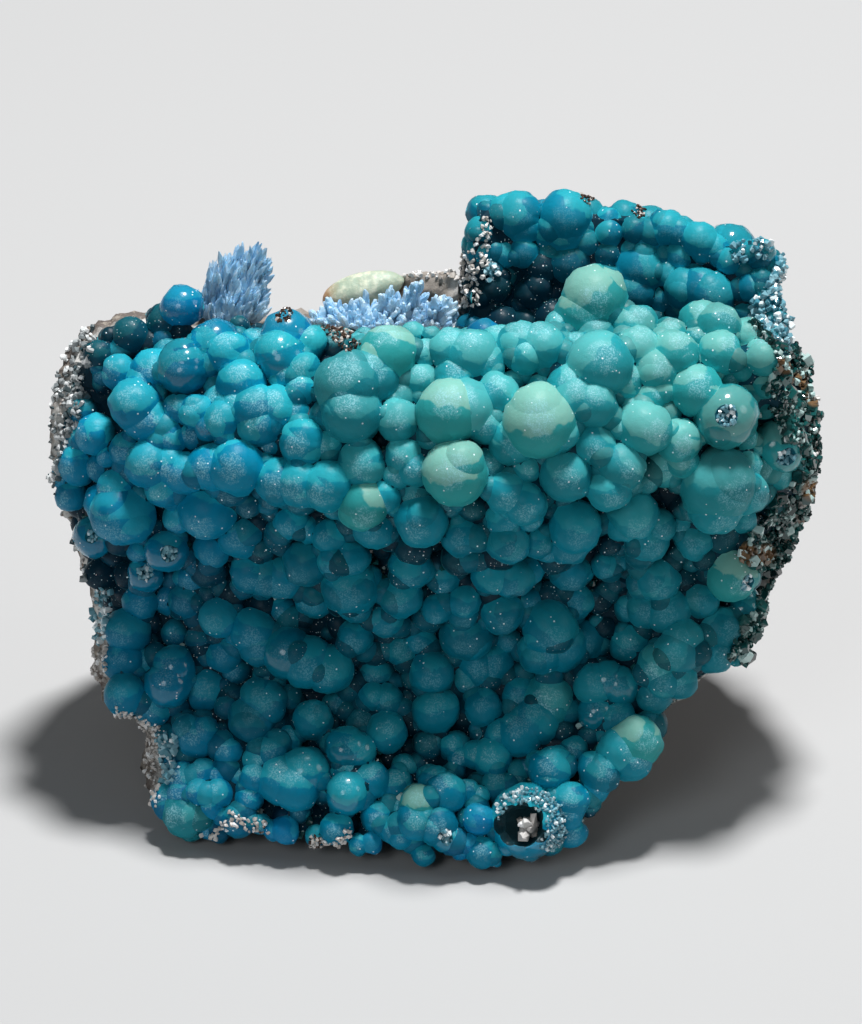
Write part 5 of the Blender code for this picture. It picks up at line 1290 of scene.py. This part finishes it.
WHITE_EDGES = [
    [(-20.6, 2.9), (-18.6, 4.5), (-17.8, 5.5), (-16.8, 4.9), (-15.6, 4.3), (-14.5, 4.2), (-14.6, 3.2),
     (-16.4, 3.4), (-17.6, 3.9), (-19.2, 2.7)],
    [(-11.0, 2.9), (-8.6, 2.6), (-7.4, 4.0), (-7.2, 3.0), (-8.8, 1.6), (-10.8, 2.0)],
    RIGHT_RIM, [(-25.9, 5.6), (-24.4, 5.6), (-24.4, 12.4), (-25.9, 12.4)],
    [(-28.6, 14.6), (-24.4, 12.8), (-24.8, 11.8), (-28.6, 13.2)],
    [(-31.0, 16.6), (-29.2, 16.6), (-29.2, 19.8), (-31.0, 19.8)],
    [(2.2, 50.4), (4.4, 50.8), (4.7, 53.0), (6.0, 57.0), (5.2, 59.0), (3.2, 55.0)],
    [(-3.4, 53.0), (3.3, 53.2), (3.3, 55.4), (-3.0, 55.4)],
]
BROWN_PATCHES = [
    [(-10.6, 50.2), (-8.4, 49.8), (-6.2, 47.0), (-7.4, 46.2), (-9.6, 48.2)],
    round_outline(-15.1, 3.8, 0.6), round_outline(-10.3, 2.4, 0.6), round_outline(14.2, 60.5, 0.7),
    round_outline(18.8, 59.1, 0.7), [(-13.8, 49.0), (-13.8, 50.4), (-12.6, 50.6), (-12.4, 49.2)],
]


def crystal_piece(name, ground, node, slot, *growth):
    """Grows crystals on a ground and hands the piece over; growth is what scatter() asks for."""
    scatter(ground, *growth)
    ground.name = name
    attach(ground, "root")
    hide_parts(node)
    print(name, triangles_in(ground.data), "triangles")


EDGE_CLEAR = 1.2 * MM  # no splinters and no grains this near to the floor
RIND_CLEAR = 1.0 * MM
RIND_WIDTH = 0.9  # mm


def is_broken_edge(face, bare):
    """Whether a bare face of the crust belongs to the broken edge at the viewer's side."""
    middle = face.calc_center_median()
    u, v, w = picture_place(middle)
    if face[bare] < 0.5 or middle.z < EDGE_CLEAR or (middle.y > WALL_Y and middle.z > WALL_Z):
        return False
    return face.normal.dot(outward_at(u, v)) < 0.35 and face.normal.dot(TO_VIEWER) > -0.6


def in_small_bowl(face, bowl):
    u, v, w = picture_place(face.calc_center_median())
    return face[bowl] > 0.5 and not inside(ABOUT_OPEN_LUMP, u, v)


def is_rind(face, rind):
    """Whether a face of the rock lies beside the crust, on the viewer's side and clear of the floor."""
    if any(vert[rind] > RIND_WIDTH or vert.co.z < RIND_CLEAR for vert in face.verts):
        return False
    return face.normal.dot(TO_VIEWER) > 0.1


def faces_with(mesh, domain, layer_name, test):
    """A test on a face that reads one of the mesh's own numbers."""
    bm = bmesh_of(mesh)
    layer = getattr(bm, domain).layers.float[layer_name]
    chosen = {face.index for face in bm.faces if test(face, layer)}
    bm.free()
    return lambda face: face.index in chosen


PLUMBO = ("botryoidal_crust", "plumbogummite")
ROCKY = ("matrix_rock", "rock")
edge = ground_from("edge", crust.data, faces_with(crust.data, "faces", "bare", is_broken_edge))
bowls = ground_from("bowls", crust.data, faces_with(crust.data, "faces", "bowl", in_small_bowl))
rind = ground_from("rind", rock.data, faces_with(rock.data, "verts", "rind", is_rind))
splinters = seen_ground("fracture", [RIGHT_FRACTURE], [ICY_EDGES[0]])
larger = seen_ground("fracture", [RIGHT_FRACTURE], [ICY_EDGES[0]])
shell = seen_ground("shell", [OPEN_LUMP_RIM])
icy = seen_ground("icy", ICY_EDGES)
left = seen_ground("left", [LEFT_RIND])
white = seen_ground("white", WHITE_EDGES)
brown = seen_ground("brown", BROWN_PATCHES)
heart = seen_ground("heart", [round_outline(8.8, 3.8, 1.0)])

# Name, ground, node and slot, crystals, how many to a mm2, smallest and largest in mm, tilt, seed, paint.
CRYSTAL_PIECES = (
    ("edge_splinters", edge, PLUMBO, shards, 4.0, 0.3, 0.9, 0.9, 11, splinter_paint),
    ("bowl_crystals", bowls, PLUMBO, shards, 7.0, 0.3, 0.65, 0.9, 12, ice_paint),
    ("rind_grains", rind, ROCKY, grains, 1.6, 0.25, 0.6, 0.9, 13, grain_paint),
    ("fracture_splinters", splinters, PLUMBO, shards, 9.0, 0.25, 0.75, 0.9, 14, splinter_paint),
    ("fracture_plates", larger, PLUMBO, plates, 0.9, 0.9, 1.7, 0.7, 21, splinter_paint),
    ("open_shell", shell, PLUMBO, shards, 9.0, 0.2, 0.5, 0.5, 20, ice_paint),
    ("icy_edges", icy, PLUMBO, shards, 6.0, 0.3, 0.8, 0.9, 15, ice_paint),
    ("left_rind", left, ROCKY, shards, 6.0, 0.25, 0.75, 0.9, 19, rind_paint),
    ("white_edges", white, ROCKY, grains, 6.0, 0.25, 0.6, 0.9, 16, white_paint),
    ("brown_druse", brown, ROCKY, grains, 9.0, 0.2, 0.5, 0.9, 17, druse_paint),
    ("white_heart", heart, PLUMBO, blades, 4.0, 0.7, 1.4, 0.5, 18, white_paint),
)
for name, ground, home, kinds, *growth, paint in CRYSTAL_PIECES:
    crystal_piece(name, ground, *home, kinds, *growth, paint.material)
stone.clear()
remove_object(crust)

# %% [markdown]
# ## The pale blue crystals and the sage lump
#
# Behind the ridge stand a fan of pale blue crystals, a low crust of stubby ones, and a smooth sage lump
# with a rusty tip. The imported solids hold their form, so each copy keeps it, and the two blue ones are
# covered with crystals.

# %% Pale blue crystals
def paint_pale_blue(name):
    box = Paint(name, Subsurface_Weight=0.4, Subsurface_Radius=(0.6, 0.9, 1.0), Subsurface_Scale=0.8 * MM,
                IOR=1.6)
    tint = box.number("tint")
    patch = box.clouds(1.2)
    colour = box.mix(tint, (0.22, 0.42, 0.62), (0.46, 0.63, 0.76))
    colour = box.mix(patch.ramp(0.5, 0.7) * 0.7, colour, (0.62, 0.72, 0.78))
    box.set("Base Color", colour)
    box.set("Roughness", 0.35 + patch * 0.3)
    box.bump(box.clouds(0.15), 0.03, 0.4)
    return box


def pale_crystals(node, slot, root, spread, *growth):
    """Covers one of the small solids with crystals that fan out from a root, (x, y, z) in mm."""
    name = node.replace("crystals", "crystal_group")
    body = solid_copy(node, name)
    centre = stand_point(*root)

    def fan(place, normal):
        return (Vector(place) - centre).normalized() + Vector(normal) * spread

    ground = ground_from(name + "_tips", body.data, lambda face: True, fan)
    box = paint_pale_blue(name)
    scatter(ground, *growth, box.material)
    box.finish(body)
    store(body.data, "tint", "POINT", np.full(len(body.data.vertices), 0.4))
    for piece in (body, ground):
        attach(piece, "root")
        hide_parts(node)
    print(name, len(ground.data.polygons), "faces of crystals")


pale_crystals("pale_blue_crystals_left", "pale_blue_left", (-22.0, 9.8, 27.0), 0.25,
              feathers, 6.0, 0.3, 0.65, 0.2, 3)
pale_crystals("pale_blue_crystals_centre", "pale_blue_centre", (-4.7, 8.9, 30.0), 0.6,
              blades, 4.0, 0.4, 0.8, 0.3, 4)

# %% Sage lump
def sage_lump():
    lump = solid_copy("sage_green_lump", "sage_lump")
    finer = lump.modifiers.new("finer", "SUBSURF")
    finer.levels = finer.render_levels = 3
    apply_modifiers(lump)
    lump.data.shade_smooth()
    box = Paint("sage_cream", Subsurface_Weight=0.2, Subsurface_Scale=0.5 * MM)
    along = box.node("ShaderNodeSeparateXYZ", None, {0: box.place})
    patch = box.clouds(1.0)
    colour = box.mix(patch.ramp(0.4, 0.7), (0.34, 0.42, 0.32), (0.62, 0.64, 0.50))
    tip = (along + patch * (1.5 * MM)).ramp(-7.6 * MM, -9.6 * MM)
    colour = box.mix(tip * 0.9, colour, (0.42, 0.17, 0.05))
    box.set("Base Color", colour)
    box.set("Roughness", 0.5)
    box.bump(patch, 0.2, 0.5)
    box.finish(lump)
    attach(lump, "root")
    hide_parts("sage_green_lump")
    return lump


sage = sage_lump()
print("sage lump:", len(sage.data.polygons), "faces")

# %% [markdown]
# ## Floor, light and camera
#
# The specimen stands on a plain pale floor. A fairly small lamp above and a little behind it lights the
# tops of the lumps and leaves deep crevices, and two large weak ones, in front and at the right, open the
# shadows.

# %% Floor
FLOOR_HALF = 3.0  # m
FLOOR_GREY = (0.43, 0.43, 0.43)


def pale_floor():
    bm = bmesh.new()
    bmesh.ops.create_grid(bm, x_segments=1, y_segments=1, size=FLOOR_HALF)
    floor = object_from("floor", bm)
    box = Paint("pale_floor", roughness=0.7)
    box.set("Base Color", FLOOR_GREY)
    box.finish(floor)


pale_floor()


# %% Lights
def lamp(name, away, distance, size, power, colour=(1.0, 1.0, 1.0)):
    """An area light that looks at the middle of the specimen."""
    target = Vector((0.0, 0.0, 0.025))
    data = bpy.data.lights.new(name, "AREA")
    data.shape = "DISK"
    data.size = size
    data.energy = power
    data.color = colour
    light = bpy.data.objects.new(name, data)
    bpy.context.scene.collection.objects.link(light)
    way = Vector(away).normalized()
    light.location = target + way * distance
    light.rotation_mode = "QUATERNION"
    light.rotation_quaternion = way.to_track_quat("Z", "Y")


lamp("key", (0.10, 0.20, 1.0), 0.7, 0.12, 8.2)
lamp("front_fill", (-0.5, -1.0, 0.7), 0.9, 0.4, 1.5, (0.92, 0.97, 1.0))
lamp("right_fill", (1.0, -0.2, 0.5), 0.9, 0.4, 0.9)
world = bpy.data.worlds.new("studio")
world.use_nodes = True
world.node_tree.nodes["Background"].inputs["Color"].default_value = (0.9, 0.95, 1.0, 1.0)
world.node_tree.nodes["Background"].inputs["Strength"].default_value = 0.08
bpy.context.scene.world = world
bpy.context.scene.view_settings.view_transform = "Standard"

# %% Camera
CAMERA_DISTANCE = 1.0
SENSOR = 36.0  # mm
PICTURE_HEIGHT = 92.16 * MM  # what the picture's height shows at the specimen
PICTURE_MIDDLE = (0.0, 32.04, 15.0)

camera_data = bpy.data.cameras.new("camera")
camera_data.sensor_width = SENSOR
camera_data.lens = SENSOR * CAMERA_DISTANCE / PICTURE_HEIGHT
camera = bpy.data.objects.new("camera", camera_data)
bpy.context.scene.collection.objects.link(camera)
camera.location = to_world(*PICTURE_MIDDLE) + TO_VIEWER * CAMERA_DISTANCE
camera.rotation_euler = (math.pi / 2 - VIEW_ELEVATION, 0.0, 0.0)
bpy.context.scene.camera = camera
print("lens, mm:", round(camera_data.lens, 1))

# %% [markdown]
# ## Tidying up
#
# The workshop's balls and crystal kinds are removed.

# %% Tidy up and finish
for collection in (workshop, blades, shards, grains, plates, feathers):
    for part in list(collection.objects):
        remove_object(part)
    bpy.data.collections.remove(collection)
